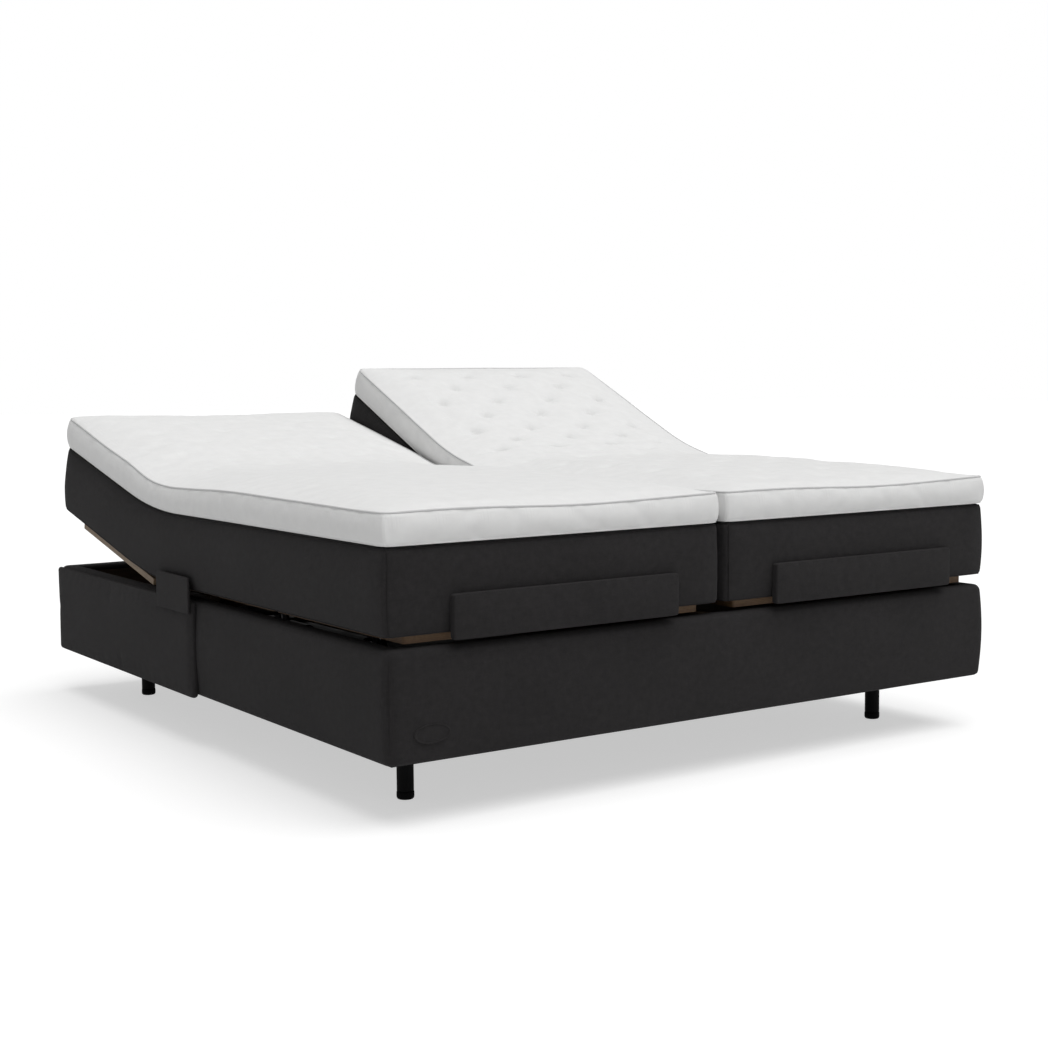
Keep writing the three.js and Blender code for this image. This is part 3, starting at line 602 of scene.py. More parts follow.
def cloth_uv(mesh):
    """Gives the mesh a UV map in metres, laid on each face from the side that it looks to."""
    layer = mesh.uv_layers.new(name="cloth")
    corners = np.empty(len(mesh.loops), int)
    mesh.loops.foreach_get("vertex_index", corners)
    normals = np.empty(len(mesh.polygons) * 3)
    mesh.polygons.foreach_get("normal", normals)
    totals = np.empty(len(mesh.polygons), int)
    mesh.polygons.foreach_get("loop_total", totals)
    side = np.repeat(np.argmax(np.abs(normals.reshape(-1, 3)), axis=1), totals)
    place = points_of(mesh)[corners]
    u = np.where(side == 0, place[:, 1], place[:, 0])
    v = np.where(side == 2, place[:, 1], place[:, 2])
    layer.data.foreach_set("uv", np.stack([u, v], axis=1).ravel())


# ---------------------------------------------------------------- padded slabs


def graded(half, edge, step):
    """Grid lines from -half to half, closer where the edge is rounded."""
    inner = half - edge
    count = max(2, round(2 * inner / step))
    turn = half - edge * np.array([0.0, 0.14, 0.40, 0.70])
    return np.concatenate([-turn, np.linspace(-inner, inner, count + 1), turn[::-1]])


def slab(width, length, thickness, corner, edge, step):
    """A closed pad on z = 0 with rounded corners and edges, centred in x and y.

    Gives its points, quads, the distance of each point in from the walls, and its level loops.
    """
    xs = graded(width / 2, edge, step)
    ys = graded(length / 2, edge, step)
    zs = graded(thickness / 2, edge, step) + thickness / 2
    last_i, last_j, last_k = len(xs) - 1, len(ys) - 1, len(zs) - 1
    index, raw = {}, []
    for i, x in enumerate(xs):
        for j, y in enumerate(ys):
            wall = i in (0, last_i) or j in (0, last_j)
            for k in range(last_k + 1) if wall else (0, last_k):
                index[i, j, k] = len(raw)
                raw.append((x, y, zs[k]))
    quads = []
    for i in range(last_i):
        for j in range(last_j):
            ring = [(i, j), (i + 1, j), (i + 1, j + 1), (i, j + 1)]
            quads.append([index[a, b, last_k] for a, b in ring])
            quads.append([index[a, b, 0] for a, b in reversed(ring)])
    for k in range(last_k):
        for i in range(last_i):
            ring = [(i, k), (i + 1, k), (i + 1, k + 1), (i, k + 1)]
            quads.append([index[a, 0, b] for a, b in ring])
            quads.append([index[a, last_j, b] for a, b in reversed(ring)])
        for j in range(last_j):
            ring = [(j, k), (j, k + 1), (j + 1, k + 1), (j + 1, k)]
            quads.append([index[0, a, b] for a, b in ring])
            quads.append([index[last_i, a, b] for a, b in reversed(ring)])
    around = [(i, 0) for i in range(last_i)] + [(last_i, j) for j in range(last_j)]
    around += [(i, last_j) for i in range(last_i, 0, -1)] + [(0, j) for j in range(last_j, 0, -1)]
    loops = [[index[i, j, k] for i, j in around] for k in range(last_k + 1)]

    raw = np.array(raw)
    half = np.array([width, length]) / 2
    inset = np.min(half - np.abs(raw[:, :2]), axis=1)
    depth = np.minimum(raw[:, 2], thickness - raw[:, 2])
    out = np.maximum(edge - inset, 0.0)
    up = np.maximum(edge - depth, 0.0)
    rounded = (out > 0) & (up > 0)
    shrink = np.where(rounded, edge / np.maximum(np.hypot(out, up), 1e-9), 1.0)
    new_inset = np.where(rounded, edge - out * shrink, inset)
    new_depth = np.where(rounded, edge - up * shrink, depth)
    plan = raw[:, :2] * (half - new_inset[:, None]) / np.maximum(half - inset[:, None], 1e-9)
    core = half - corner
    over = np.maximum(np.abs(plan) - core, 0.0)
    reach = over.max(axis=1)
    span = np.hypot(over[:, 0], over[:, 1])
    factor = np.where(span > 0, reach / np.maximum(span, 1e-9), 1.0)
    plan = np.sign(plan) * (np.minimum(np.abs(plan), core) + over * factor[:, None])
    height = np.where(raw[:, 2] > thickness / 2, thickness - new_depth, new_depth)
    points = np.column_stack([plan, height])
    return SimpleNamespace(points=points, quads=quads, inset=inset, loops=loops, raw=raw, thickness=thickness)


def settle(pads, pressure, slack, limit, frames=16):
    """Blows the pads up as cloth, all at once, and keeps the shape that they reach.

    No point moves further than the limit.
    """
    starts = []
    for pad in pads:
        starts.append(points_of(pad.data))
        cloth = pad.modifiers.new("Cloth", "CLOTH")
        settings = cloth.settings
        settings.quality = 4
        settings.mass = 0.25
        settings.tension_stiffness = 12.0
        settings.compression_stiffness = 12.0
        settings.shear_stiffness = 6.0
        settings.bending_stiffness = 0.6
        settings.tension_damping = 6.0
        settings.air_damping = 2.0
        settings.use_pressure = True
        settings.uniform_pressure_force = pressure
        settings.shrink_min = -slack
        settings.vertex_group_mass = "held"
        settings.effector_weights.gravity = 0.0
        cloth.collision_settings.use_collision = False
        cloth.point_cache.frame_start = 1
        cloth.point_cache.frame_end = frames
    scene = bpy.context.scene
    for number in range(1, frames + 1):
        scene.frame_set(number)
    ends = []
    for pad in pads:
        mesh = evaluated_mesh(pad)
        ends.append(points_of(mesh))
        bpy.data.meshes.remove(mesh)
    for pad, start, end in zip(pads, starts, ends):
        pad.modifiers.clear()
        move = end - start
        far = np.linalg.norm(move, axis=1, keepdims=True)
        set_points(pad.data, start + move * np.minimum(1.0, limit / np.maximum(far, 1e-9)))
    scene.frame_set(1)


def hold(piece, places):
    """Marks the points that the cloth is sewn or glued at."""
    group = piece.vertex_groups.new(name="held")
    group.add([int(place) for place in places], 1.0, "REPLACE")


def subdivided(piece):
    """A plain mesh of the object, subdivided once."""
    smoother = piece.modifiers.new("Subdivision", "SUBSURF")
    smoother.levels = 1
    smoother.render_levels = 1
    mesh = evaluated_mesh(piece)
    piece.modifiers.clear()
    return mesh


# ---------------------------------------------------------------- the bend of a unit


def along_bend(flat, height, corner, angle, reach):
    """Where points at a flat place and height land over a line that turns up at the corner."""
    radius = reach / math.tan(angle / 2)
    start = corner - reach
    turned = np.clip((flat - start) / radius, 0.0, angle)
    beyond = np.maximum(flat - start - radius * angle, 0.0)
    y = np.minimum(flat, start) + radius * np.sin(turned) + beyond * np.cos(turned) - height * np.sin(turned)
    z = radius * (1 - np.cos(turned)) + beyond * np.sin(turned) + height * np.cos(turned)
    return y, z


def bent(points, unit):
    """The unit's padding from flat to its back's resting angle. The upper side turns more gradually."""
    points = np.asarray(points, float)
    height = points[:, 2] - DECK
    low_y, low_z = along_bend(points[:, 1], height, BACK_HINGE_Y + 0.003, unit.angle, unit.board_reach)
    high_y, high_z = along_bend(points[:, 1], height, unit.pad_corner, unit.pad_angle, unit.pad_reach)
    share = smooth_step(height / (MATTRESS_HIGH[2] - DECK))
    y = low_y + (high_y - low_y) * share
    z = low_z + (high_z - low_z) * share
    return np.column_stack([points[:, 0], y, z + DECK])


def section_mesh(source, section, name):
    """The part of a closed pad between two cuts across it, with closed ends."""
    mesh = bmesh.new()
    mesh.from_mesh(source)
    for place, facing in ((section.low, -1.0), (section.high, 1.0)):
        if abs(place) > 1.5:
            continue
        every = mesh.verts[:] + mesh.edges[:] + mesh.faces[:]
        cut = bmesh.ops.bisect_plane(mesh, geom=every, plane_co=(0, place, 0), plane_no=(0, facing, 0),
                                     clear_outer=True)
        rim = [item for item in cut["geom_cut"] if isinstance(item, bmesh.types.BMEdge)]
        cap = bmesh.ops.contextual_create(mesh, geom=rim)["faces"]
        for edge in rim:
            edge.smooth = False
        for face in cap:
            face.smooth = False
        bmesh.ops.triangulate(mesh, faces=cap)
    bmesh.ops.recalc_face_normals(mesh, faces=mesh.faces[:])
    made = bpy.data.meshes.new(name)
    mesh.to_mesh(made)
    mesh.free()
    return made


def bend_piece(piece):
    """Bakes a piece's placement into its mesh."""
    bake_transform(piece)


def runs_between(loop, low, high):
    """The runs of a closed line that lie between two cuts across the bed."""
    count = len(loop)
    outside = [i for i in range(count) if not low <= loop[i][1] <= high]
    first = outside[0] if outside else 0
    runs, run = [], []
    for step in range(count):
        a = loop[(first + step) % count]
        b = loop[(first + step + 1) % count]
        change = b[1] - a[1]
        entry, leave = 0.0, 1.0
        if abs(change) > 1e-9:
            ends = sorted(((low - a[1]) / change, (high - a[1]) / change))
            entry, leave = max(0.0, ends[0]), min(1.0, ends[1])
        elif not low <= a[1] <= high:
            leave = -1.0
        if entry < leave:
            if not run:
                run = [a + (b - a) * entry]
            run.append(a + (b - a) * leave)
        if run and not low <= b[1] <= high:
            runs.append(np.array(run))
            run = []
    if run:
        runs.append(np.array(run))
    return runs


# ---------------------------------------------------------------- geometry node trees


def geometry_tree(name, inputs):
    """An empty Geometry Nodes tree with named inputs: gives the tree, its inputs and its sink."""
    tree = bpy.data.node_groups.new(name, "GeometryNodeTree")
    tree.interface.new_socket(name="Geometry", in_out="INPUT", socket_type="NodeSocketGeometry")
    add_inputs(tree, inputs)
    tree.interface.new_socket(name="Geometry", in_out="OUTPUT", socket_type="NodeSocketGeometry")
    source = tree.nodes.new("NodeGroupInput")
    sink = tree.nodes.new("NodeGroupOutput")
    return tree, source.outputs, sink


def end_tree(tree, geometry, given, sink):
    """Smooth shading, real geometry and a material at the end of a tree."""
    smooth = node(tree, "GeometryNodeSetShadeSmooth", {"Geometry": geometry}).outputs[0]
    real = node(tree, "GeometryNodeRealizeInstances", {"Geometry": smooth}).outputs[0]
    done = node(tree, "GeometryNodeSetMaterial", {"Geometry": real, "Material": given["Material"]}).outputs[0]
    tree.links.new(done, sink.inputs[0])
    return tree


def on_points(tree, given, parts, size):
    """The joined parts on each point, turned to the point's own direction."""
    joined = node(tree, "GeometryNodeJoinGeometry")
    for part in parts:
        tree.links.new(part, joined.inputs[0])
    facing = node(tree, "GeometryNodeInputNamedAttribute", {"Name": "facing"}, data_type="FLOAT_VECTOR").outputs[0]
    turn = node(tree, "FunctionNodeAlignRotationToVector", {"Vector": facing}, axis="Z").outputs[0]
    even = node(tree, "ShaderNodeCombineXYZ", {0: size, 1: size, 2: size}).outputs[0]
    return node(tree, "GeometryNodeInstanceOnPoints", {
        "Points": given["Geometry"], "Instance": joined.outputs[0], "Rotation": turn, "Scale": even,
    }).outputs[0]


def piping_tree():
    """A round cord along a line."""
    tree, given, sink = geometry_tree("Piping along a line", [
        ("Radius", FLOAT, 0.0026), ("Sides", "NodeSocketInt", 8), ("Material", "NodeSocketMaterial", None)])
    curve = node(tree, "GeometryNodeMeshToCurve", {"Mesh": given["Geometry"]}).outputs[0]
    ring = node(tree, "GeometryNodeCurvePrimitiveCircle", {"Resolution": given["Sides"], "Radius": given["Radius"]})
    tube = node(tree, "GeometryNodeCurveToMesh",
                {"Curve": curve, "Profile Curve": ring.outputs[0], "Fill Caps": True}).outputs[0]
    return end_tree(tree, tube, given, sink)


def stitch_tree():
    """Short thick threads one behind the other along a line."""
    tree, given, sink = geometry_tree("Stitches along a line", [
        ("Pitch", FLOAT, 0.0065), ("Thickness", FLOAT, 0.0009), ("Material", "NodeSocketMaterial", None)])
    curve = node(tree, "GeometryNodeMeshToCurve", {"Mesh": given["Geometry"]}).outputs[0]
    even = node(tree, "GeometryNodeResampleCurve",
                {"Curve": curve, "Length": given["Pitch"]}, mode="LENGTH").outputs[0]
    bead = node(tree, "GeometryNodeMeshUVSphere", {"Segments": 6, "Rings": 4, "Radius": 1.0}).outputs[0]
    long = maths(tree, "MULTIPLY", given["Pitch"], 0.36)
    size = node(tree, "ShaderNodeCombineXYZ", {0: given["Thickness"], 1: given["Thickness"], 2: long}).outputs[0]
    tangent = node(tree, "GeometryNodeInputTangent").outputs[0]
    turn = node(tree, "FunctionNodeAlignRotationToVector", {"Vector": tangent}, axis="Z").outputs[0]
    placed = node(tree, "GeometryNodeInstanceOnPoints",
                  {"Points": even, "Instance": bead, "Rotation": turn, "Scale": size}).outputs[0]
    return end_tree(tree, placed, given, sink)


def screw_tree():
    """A washer and a domed head on each point, facing along the point's own direction."""
    tree, given, sink = geometry_tree("Screws on points", [
        ("Radius", FLOAT, 0.0045), ("Material", "NodeSocketMaterial", None)])
    washer = node(tree, "GeometryNodeMeshCylinder", {"Vertices": 16, "Radius": 1.7, "Depth": 0.3}).outputs[0]
    dome = node(tree, "GeometryNodeMeshUVSphere", {"Segments": 12, "Rings": 6, "Radius": 1.0}).outputs[0]
    head = node(tree, "GeometryNodeTransform",
                {"Geometry": dome, "Translation": (0, 0, 0.15), "Scale": (1, 1, 0.55)}).outputs[0]
    return end_tree(tree, on_points(tree, given, (washer, head), given["Radius"]), given, sink)


def tuft_tree():
    """A cross of two short threads on each point, square to the point's own direction."""
    tree, given, sink = geometry_tree("Tuft ties on points", [
        ("Length", FLOAT, 0.007), ("Material", "NodeSocketMaterial", None)])
    bead = node(tree, "GeometryNodeMeshUVSphere", {"Segments": 8, "Rings": 5, "Radius": 1.0}).outputs[0]
    one = node(tree, "GeometryNodeTransform", {"Geometry": bead, "Scale": (1.0, 0.22, 0.22)}).outputs[0]
    two = node(tree, "GeometryNodeTransform", {"Geometry": bead, "Scale": (0.22, 1.0, 0.22)}).outputs[0]
    return end_tree(tree, on_points(tree, given, (one, two), given["Length"]), given, sink)


def grow(name, mesh, maker, material, **values):
    """Runs a tree on a mesh of lines or points and keeps the result as a plain mesh object."""
    host = new_object(f"{name}_guide", mesh)
    modifier = host.modifiers.new("Trim", "NODES")
    modifier.node_group = shared(maker)
    for item in modifier.node_group.interface.items_tree:
        if item.item_type == "SOCKET" and item.in_out == "INPUT":
            if item.name == "Material":
                modifier[item.identifier] = MATERIALS[material]
            elif item.name in values:
                modifier[item.identifier] = values[item.name]
    made = evaluated_mesh(host)
    made.name = name
    remove(host)
    return new_object(name, made)


def lines_mesh(name, lines):
    """A mesh of open lines."""
    points, edges = [], []
    for line in lines:
        first = len(points)
        points.extend(line)
        edges.extend((first + i, first + i + 1) for i in range(len(line) - 1))
    return mesh_from(name, points, (), edges)


def facing_mesh(name, places, directions):
    """A mesh of loose points that each face a direction."""
    mesh = mesh_from(name, places)
    layer = mesh.attributes.new("facing", "FLOAT_VECTOR", "POINT")
    layer.data.foreach_set("vector", np.asarray(directions, float).ravel())
    return mesh


# ---------------------------------------------------------------- mattresses and toppers


def bulge_walls(pad, side, end, out):
    """Lets the upright walls stand out in the middle of their height, less next to the other unit."""
    level = np.clip(pad.points[:, 2] / pad.thickness, 0.0, 1.0)
    full = np.sin(math.pi * level ** 0.85) ** 0.8
    half = np.abs(pad.points[:, :2]).max(axis=0)
    near = np.exp(-pad.inset / 0.012)
    for axis, amount in ((0, side), (1, end)):
        share = np.abs(pad.points[:, axis]) / half[axis]
        wall = np.where(half[axis] - np.abs(pad.points[:, axis]) < 0.012, 1.0, 0.0) * near
        if axis == 0:
            wall *= np.where(pad.points[:, 0] * out > 0, 1.0, 0.25)
        pad.points[:, axis] += np.sign(pad.points[:, axis]) * amount * full * wall * share


def mattress_slab(unit):
    """The mattress, flat: firm, with upright sides between two sewn edges.

    It starts a little narrower and shorter than its frame, because the walls then stand out.
    """
    width = MATTRESS_HIGH[0] - MATTRESS_LOW[0]
    length = MATTRESS_HEAD - MATTRESS_LOW[1]
    thickness = MATTRESS_HIGH[2] - MATTRESS_LOW[2]
    pad = slab(width - 0.006 + FULLNESS, length - 0.010, thickness, MATTRESS_CORNER, MATTRESS_EDGE, 0.021)
    bulge_walls(pad, 0.007, 0.003, unit.out)
    pad.points += (unit.x + unit.out * FULLNESS / 2, (MATTRESS_HEAD + MATTRESS_LOW[1]) / 2, MATTRESS_LOW[2])
    pad.points[:, 0] += 0.0010 * wave(pad.points, 3.0, unit.seed)
    pad.points[:, 1] += 0.0010 * wave(pad.points, 3.0, unit.seed + 7)
    flat = (pad.raw[:, 2] > thickness - 1e-6) | (pad.raw[:, 2] < 1e-6)
    sewn = flat & (pad.inset >= MATTRESS_EDGE * 0.55) | np.isin(np.arange(len(pad.points)), pad.loops[0])
    pad.sewn = np.flatnonzero(sewn)
    return pad


def tuft_places(unit, spacing):
    """Staggered tufts over a flat topper."""
    places = []
    row = 0
    y = TOPPER_HEAD - 0.115
    while y > TOPPER_LOW[1] + 0.09:
        offset = 0.0 if row % 2 else spacing / 2
        for step in range(-3, 4):
            x = step * spacing + offset
            if abs(x) < 0.37:
                places.append((unit.x + x, y))
        row += 1
        y -= spacing / 2
    return np.array(places)


def topper_slab(unit, spacing):
    """The topper, flat: crowned above its piping, thicker at the back, with full borders."""
    width = TOPPER_HIGH[0] - TOPPER_LOW[0]
    length = TOPPER_HEAD - TOPPER_LOW[1]
    pad = slab(width + FULLNESS, length + 0.004, PIPING_HEIGHT, TOPPER_CORNER, TOPPER_EDGE, 0.0135)
    bulge_walls(pad, 0.008, 0.007, unit.out)
    middle = (TOPPER_HEAD + TOPPER_LOW[1]) / 2
    pad.points += (unit.x + unit.out * FULLNESS / 2, middle, TOPPER_LOW[2])
    x, y = pad.points[:, 0], pad.points[:, 1]
    top = pad.raw[:, 2] > PIPING_HEIGHT - 1e-6
    upper = np.clip((pad.points[:, 2] - TOPPER_LOW[2]) / PIPING_HEIGHT, 0.0, 1.0)
    crown = TOPPER_CROWN * (1.0 - np.exp(-np.maximum(pad.inset - 0.002, 0.0) / 0.075))
    crown *= 1.0 - np.exp(-np.maximum(y - y.min(), 0.0) / 0.22)
    lift = unit.swell * smooth_step((y - unit.swell_from) / 0.25)
    lift += 0.008 * np.exp(-(((y + 0.30) / 0.26) ** 2)) + 0.003 * np.exp(-(((y + 0.70) / 0.20) ** 2))
    end = np.exp(-(((y - y.min()) / 0.10) ** 2))
    lift -= 0.004 * end * np.sin((x - unit.x + 0.12) * 7.5)
    corner = np.exp(-(((x - x.min()) / 0.17) ** 2)) * smooth_step((y - 0.60) / 0.32)
    lift += unit.fluff * corner
    lift += 0.0020 * wave(pad.points, 3.2, unit.seed)
    pad.points[:, 2] += np.where(top, crown, 0.0) + lift * upper
    pad.tufts = tuft_places(unit, spacing)
    bottom = pad.raw[:, 2] < 1e-6
    sewn = bottom | np.isin(np.arange(len(pad.points)), pad.loops[0] + pad.loops[-1])
    pad.sewn = np.flatnonzero(sewn)
    return pad


def pull_tufts(mesh, unit, places):
    """Draws the top in at each tuft, with a short crease across and small pleats round it.

    Gives the places of the ties.
    """
    points = points_of(mesh)
    top = points[:, 2] > TOPPER_LOW[2] + PIPING_HEIGHT * 0.8
    ties = []
    for number, (x, y) in enumerate(places):
        over = points - (x, y, 0.0)
        away = np.hypot(over[:, 0], over[:, 1])
        near = np.flatnonzero(top & (away < 0.10))
        side, along, away = over[near, 0], over[near, 1], away[near]
        strength = unit.tuft_depth * (1.0 if y > 0.22 else 0.30)
        turn = np.arctan2(along, side)
        pull = 0.55 * np.exp(-((away / 0.015) ** 2)) + 0.50 * np.exp(-((away / 0.040) ** 2))
        pull += 0.30 * np.exp(-np.abs(side) / 0.032 - (along / 0.010) ** 2)
        pull += 0.10 * np.cos(5 * turn + number * 2.4) * (away / 0.02) * np.exp(-away / 0.018)
        points[near, 2] -= strength * pull
        if strength < 0.01:
            continue
        ties.append((x, y, points[near[np.argmin(away)], 2] + 0.0006))
    set_points(mesh, points)
    return np.array(ties).reshape(-1, 3)


def pad_object(name, pad):
    """A working object of a slab, with its sewn points marked."""
    piece = new_object(name, mesh_from(name, pad.points, pad.quads))
    hold(piece, pad.sewn)
    return piece


def section_pieces(kind, unit, mesh, material):
    """Parts a flat pad into its sections and bends each to its resting shape."""
    pieces = {}
    for section in SECTIONS:
        name = f"{kind}_{section.name}_{unit.name}"
        part = section_mesh(mesh, section, name)
        cloth_uv(part)
        set_points(part, bent(points_of(part), unit))
        piece = new_object(name, part, material)
        bend_piece(piece)
        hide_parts(*[f"{kind}_{node_name}_{unit.name}" for node_name in section.nodes])
        pieces[section.name] = piece
    return pieces


def trim_sections(kind, unit, loops, maker, material, slot, **values):
    """Piping or stitches along flat lines, parted and bent as the pad under them is."""
    for section in SECTIONS:
        lines = [bent(run, unit) for loop in loops for run in runs_between(loop, section.low, section.high)]
        if lines:
            name = f"{kind}_{section.name}_{unit.name}"
            piece = grow(name, lines_mesh(name, lines), maker, material, **values)
            bend_piece(piece)


class BED_OT_mattresses(bpy.types.Operator):
    """Makes both mattresses as padded covers over foam, with their corner seams"""

    bl_idname = "bed.mattresses"
    bl_label = "Mattresses"

    def execute(self, context):
        pads = {unit.name: mattress_slab(unit) for unit in UNITS.values()}
        working = {name: pad_object(f"mattress_{name}_flat", pad) for name, pad in pads.items()}
        settle(list(working.values()), 1.2, 0.0, 0.004)
        for unit in UNITS.values():
            piece = working[unit.name]
            points = points_of(piece.data)
            mesh = subdivided(piece)
            section_pieces("mattress", unit, mesh, "mattress cloth")
            bpy.data.meshes.remove(mesh)
            pad = pads[unit.name]
            edges = [points[pad.loops[0]], points[pad.loops[-1]]]
            trim_sections("mattress_edge_seam", unit, edges, piping_tree, "charcoal thread", "mattress_cloth",
                          Radius=0.0016, Sides=6)
            corner_seams(unit, points, pad)
            remove(piece)
        return {"FINISHED"}


def corner_seams(unit, points, pad):
    """One upright seam on each end of the mattress."""
    half = (MATTRESS_HIGH[0] - MATTRESS_LOW[0]) / 2
    for end, section in ((-1, SECTIONS[2]), (1, SECTIONS[0])):
        column = []
        wanted = unit.x + end * (half - unit.seam)
        for loop in pad.loops[1:-1]:
            level = points[loop]
            near = level[(level[:, 1] * end > level[:, 1].mean() * end) & (abs(level[:, 0] - wanted) < 0.03)]
            spot = near[np.argmin(np.abs(near[:, 0] - wanted))]
            column.append((spot[0], spot[1] + end * 0.0003, spot[2]))
        name = f"mattress_corner_seam_{section.name}_{unit.name}"
        piece = grow(name, lines_mesh(name, [bent(np.array(column), unit)]), piping_tree, "charcoal thread",
                     Radius=0.0015, Sides=6)
        bend_piece(piece)


class BED_OT_toppers(bpy.types.Operator):
    """Makes both toppers as tufted pads with piping, a lower hem and tuft ties"""

    bl_idname = "bed.toppers"
    bl_label = "Toppers"

    def execute(self, context):
        sizes = context.scene.bed_sizes
        pads = {unit.name: topper_slab(unit, sizes.tuft_spacing) for unit in UNITS.values()}
        working = {name: pad_object(f"topper_{name}_flat", pad) for name, pad in pads.items()}
        settle(list(working.values()), 1.6, 0.003, 0.008)
        for unit in UNITS.values():
            piece = working[unit.name]
            points = points_of(piece.data)
            mesh = subdivided(piece)
            ties = pull_tufts(mesh, unit, pads[unit.name].tufts)
            section_pieces("topper", unit, mesh, "topper knit")
            bpy.data.meshes.remove(mesh)
            pad = pads[unit.name]
            trim_sections("topper_piping", unit, [points[pad.loops[-1]]], piping_tree, "topper piping",
                          "topper_cloth", Radius=sizes.piping_radius, Sides=8)
            trim_sections("topper_hem", unit, [points[pad.loops[0]]], piping_tree, "topper thread",
                          "topper_cloth", Radius=0.0017, Sides=6)
            tuft_ties(unit, ties)
            remove(piece)
        return {"FINISHED"}


def tuft_ties(unit, places):
    """The threads that tie each tuft."""
    for section in SECTIONS:
        inside = places[(places[:, 1] > section.low) & (places[:, 1] < section.high)]
        if len(inside):
            lifted = inside + (0.0, 0.0, 0.02)
            spots = bent(inside, unit)
            directions = bent(lifted, unit) - spots
            name = f"topper_ties_{section.name}_{unit.name}"
            mesh = facing_mesh(name, spots, directions)
            piece = grow(name, mesh, tuft_tree, "topper thread", Length=0.0042)
            bend_piece(piece)


# ---------------------------------------------------------------- the upholstered box


def outline_places(corner):
    """Places round the box: point, outward direction, and how deep a seam lies there."""
    half_x = (COVER_HIGH[0] - COVER_LOW[0]) / 2
    half_y = (COVER_HIGH[1] - COVER_LOW[1]) / 2
    centre = ((COVER_HIGH[0] + COVER_LOW[0]) / 2, (COVER_HIGH[1] + COVER_LOW[1]) / 2)
    places = []
    for quarter in range(4):
        angle = quarter * math.pi / 2 - math.pi / 2  # foot, right, head, left
        out = (math.cos(angle), math.sin(angle))
        along = (-out[1], out[0])
        run, reach = (half_x, half_y) if quarter % 2 == 0 else (half_y, half_x)
        straight = run - corner
        for stop in np.linspace(-straight, straight, max(2, round(2 * straight / 0.03)) + 1):
            point = (centre[0] + out[0] * reach + along[0] * stop, centre[1] + out[1] * reach + along[1] * stop)
            places.append((point, out, 0.0))
        for step in range(1, 8):
            turn = angle + step / 8 * math.pi / 2
            out_now = (math.cos(turn), math.sin(turn))
            hub = (centre[0] + out[0] * (reach - corner) + along[0] * straight,
                   centre[1] + out[1] * (reach - corner) + along[1] * straight)
            dip = SEAM_DIP if quarter % 2 == 1 and step == 4 else 0.0  # the seam at every other corner
            places.append(((hub[0] + out_now[0] * corner, hub[1] + out_now[1] * corner), out_now, dip))
    return places


def cover_profile(edge):
    """Closed outline of the cover: distance in from the outer face, and height."""
    low, high = COVER_LOW[2], COVER_HIGH[2]
    inner = RAIL_INNER - COVER_LOW[1]
    face = RAIL_OUTER - COVER_LOW[1] - 0.0004
    lower = 0.010
    profile = [(face, low + 0.001), (lower + 0.006, low)]
    for step in range(5):
        turn = step / 4 * math.pi / 2
        profile.append((lower - lower * math.sin(turn), low + lower - lower * math.cos(turn)))
    profile += [(0.0, height) for height in np.linspace(low + 0.035, high - edge - 0.02, 8)]
    for step in range(6):
        turn = step / 5 * math.pi / 2
        profile.append((edge - edge * math.cos(turn), high - edge + edge * math.sin(turn)))
    wrap = 0.0018
    profile += [(inner - 0.010, high - 0.0005), (inner - 0.001, high - 0.002), (inner + wrap, high - 0.006),
                (inner + wrap, RAIL_TOP - 0.012), (inner + 0.0002, RAIL_TOP - 0.012),
                (inner + 0.0002, RAIL_TOP + 0.0003), (face, RAIL_TOP + 0.0003)]
    return profile


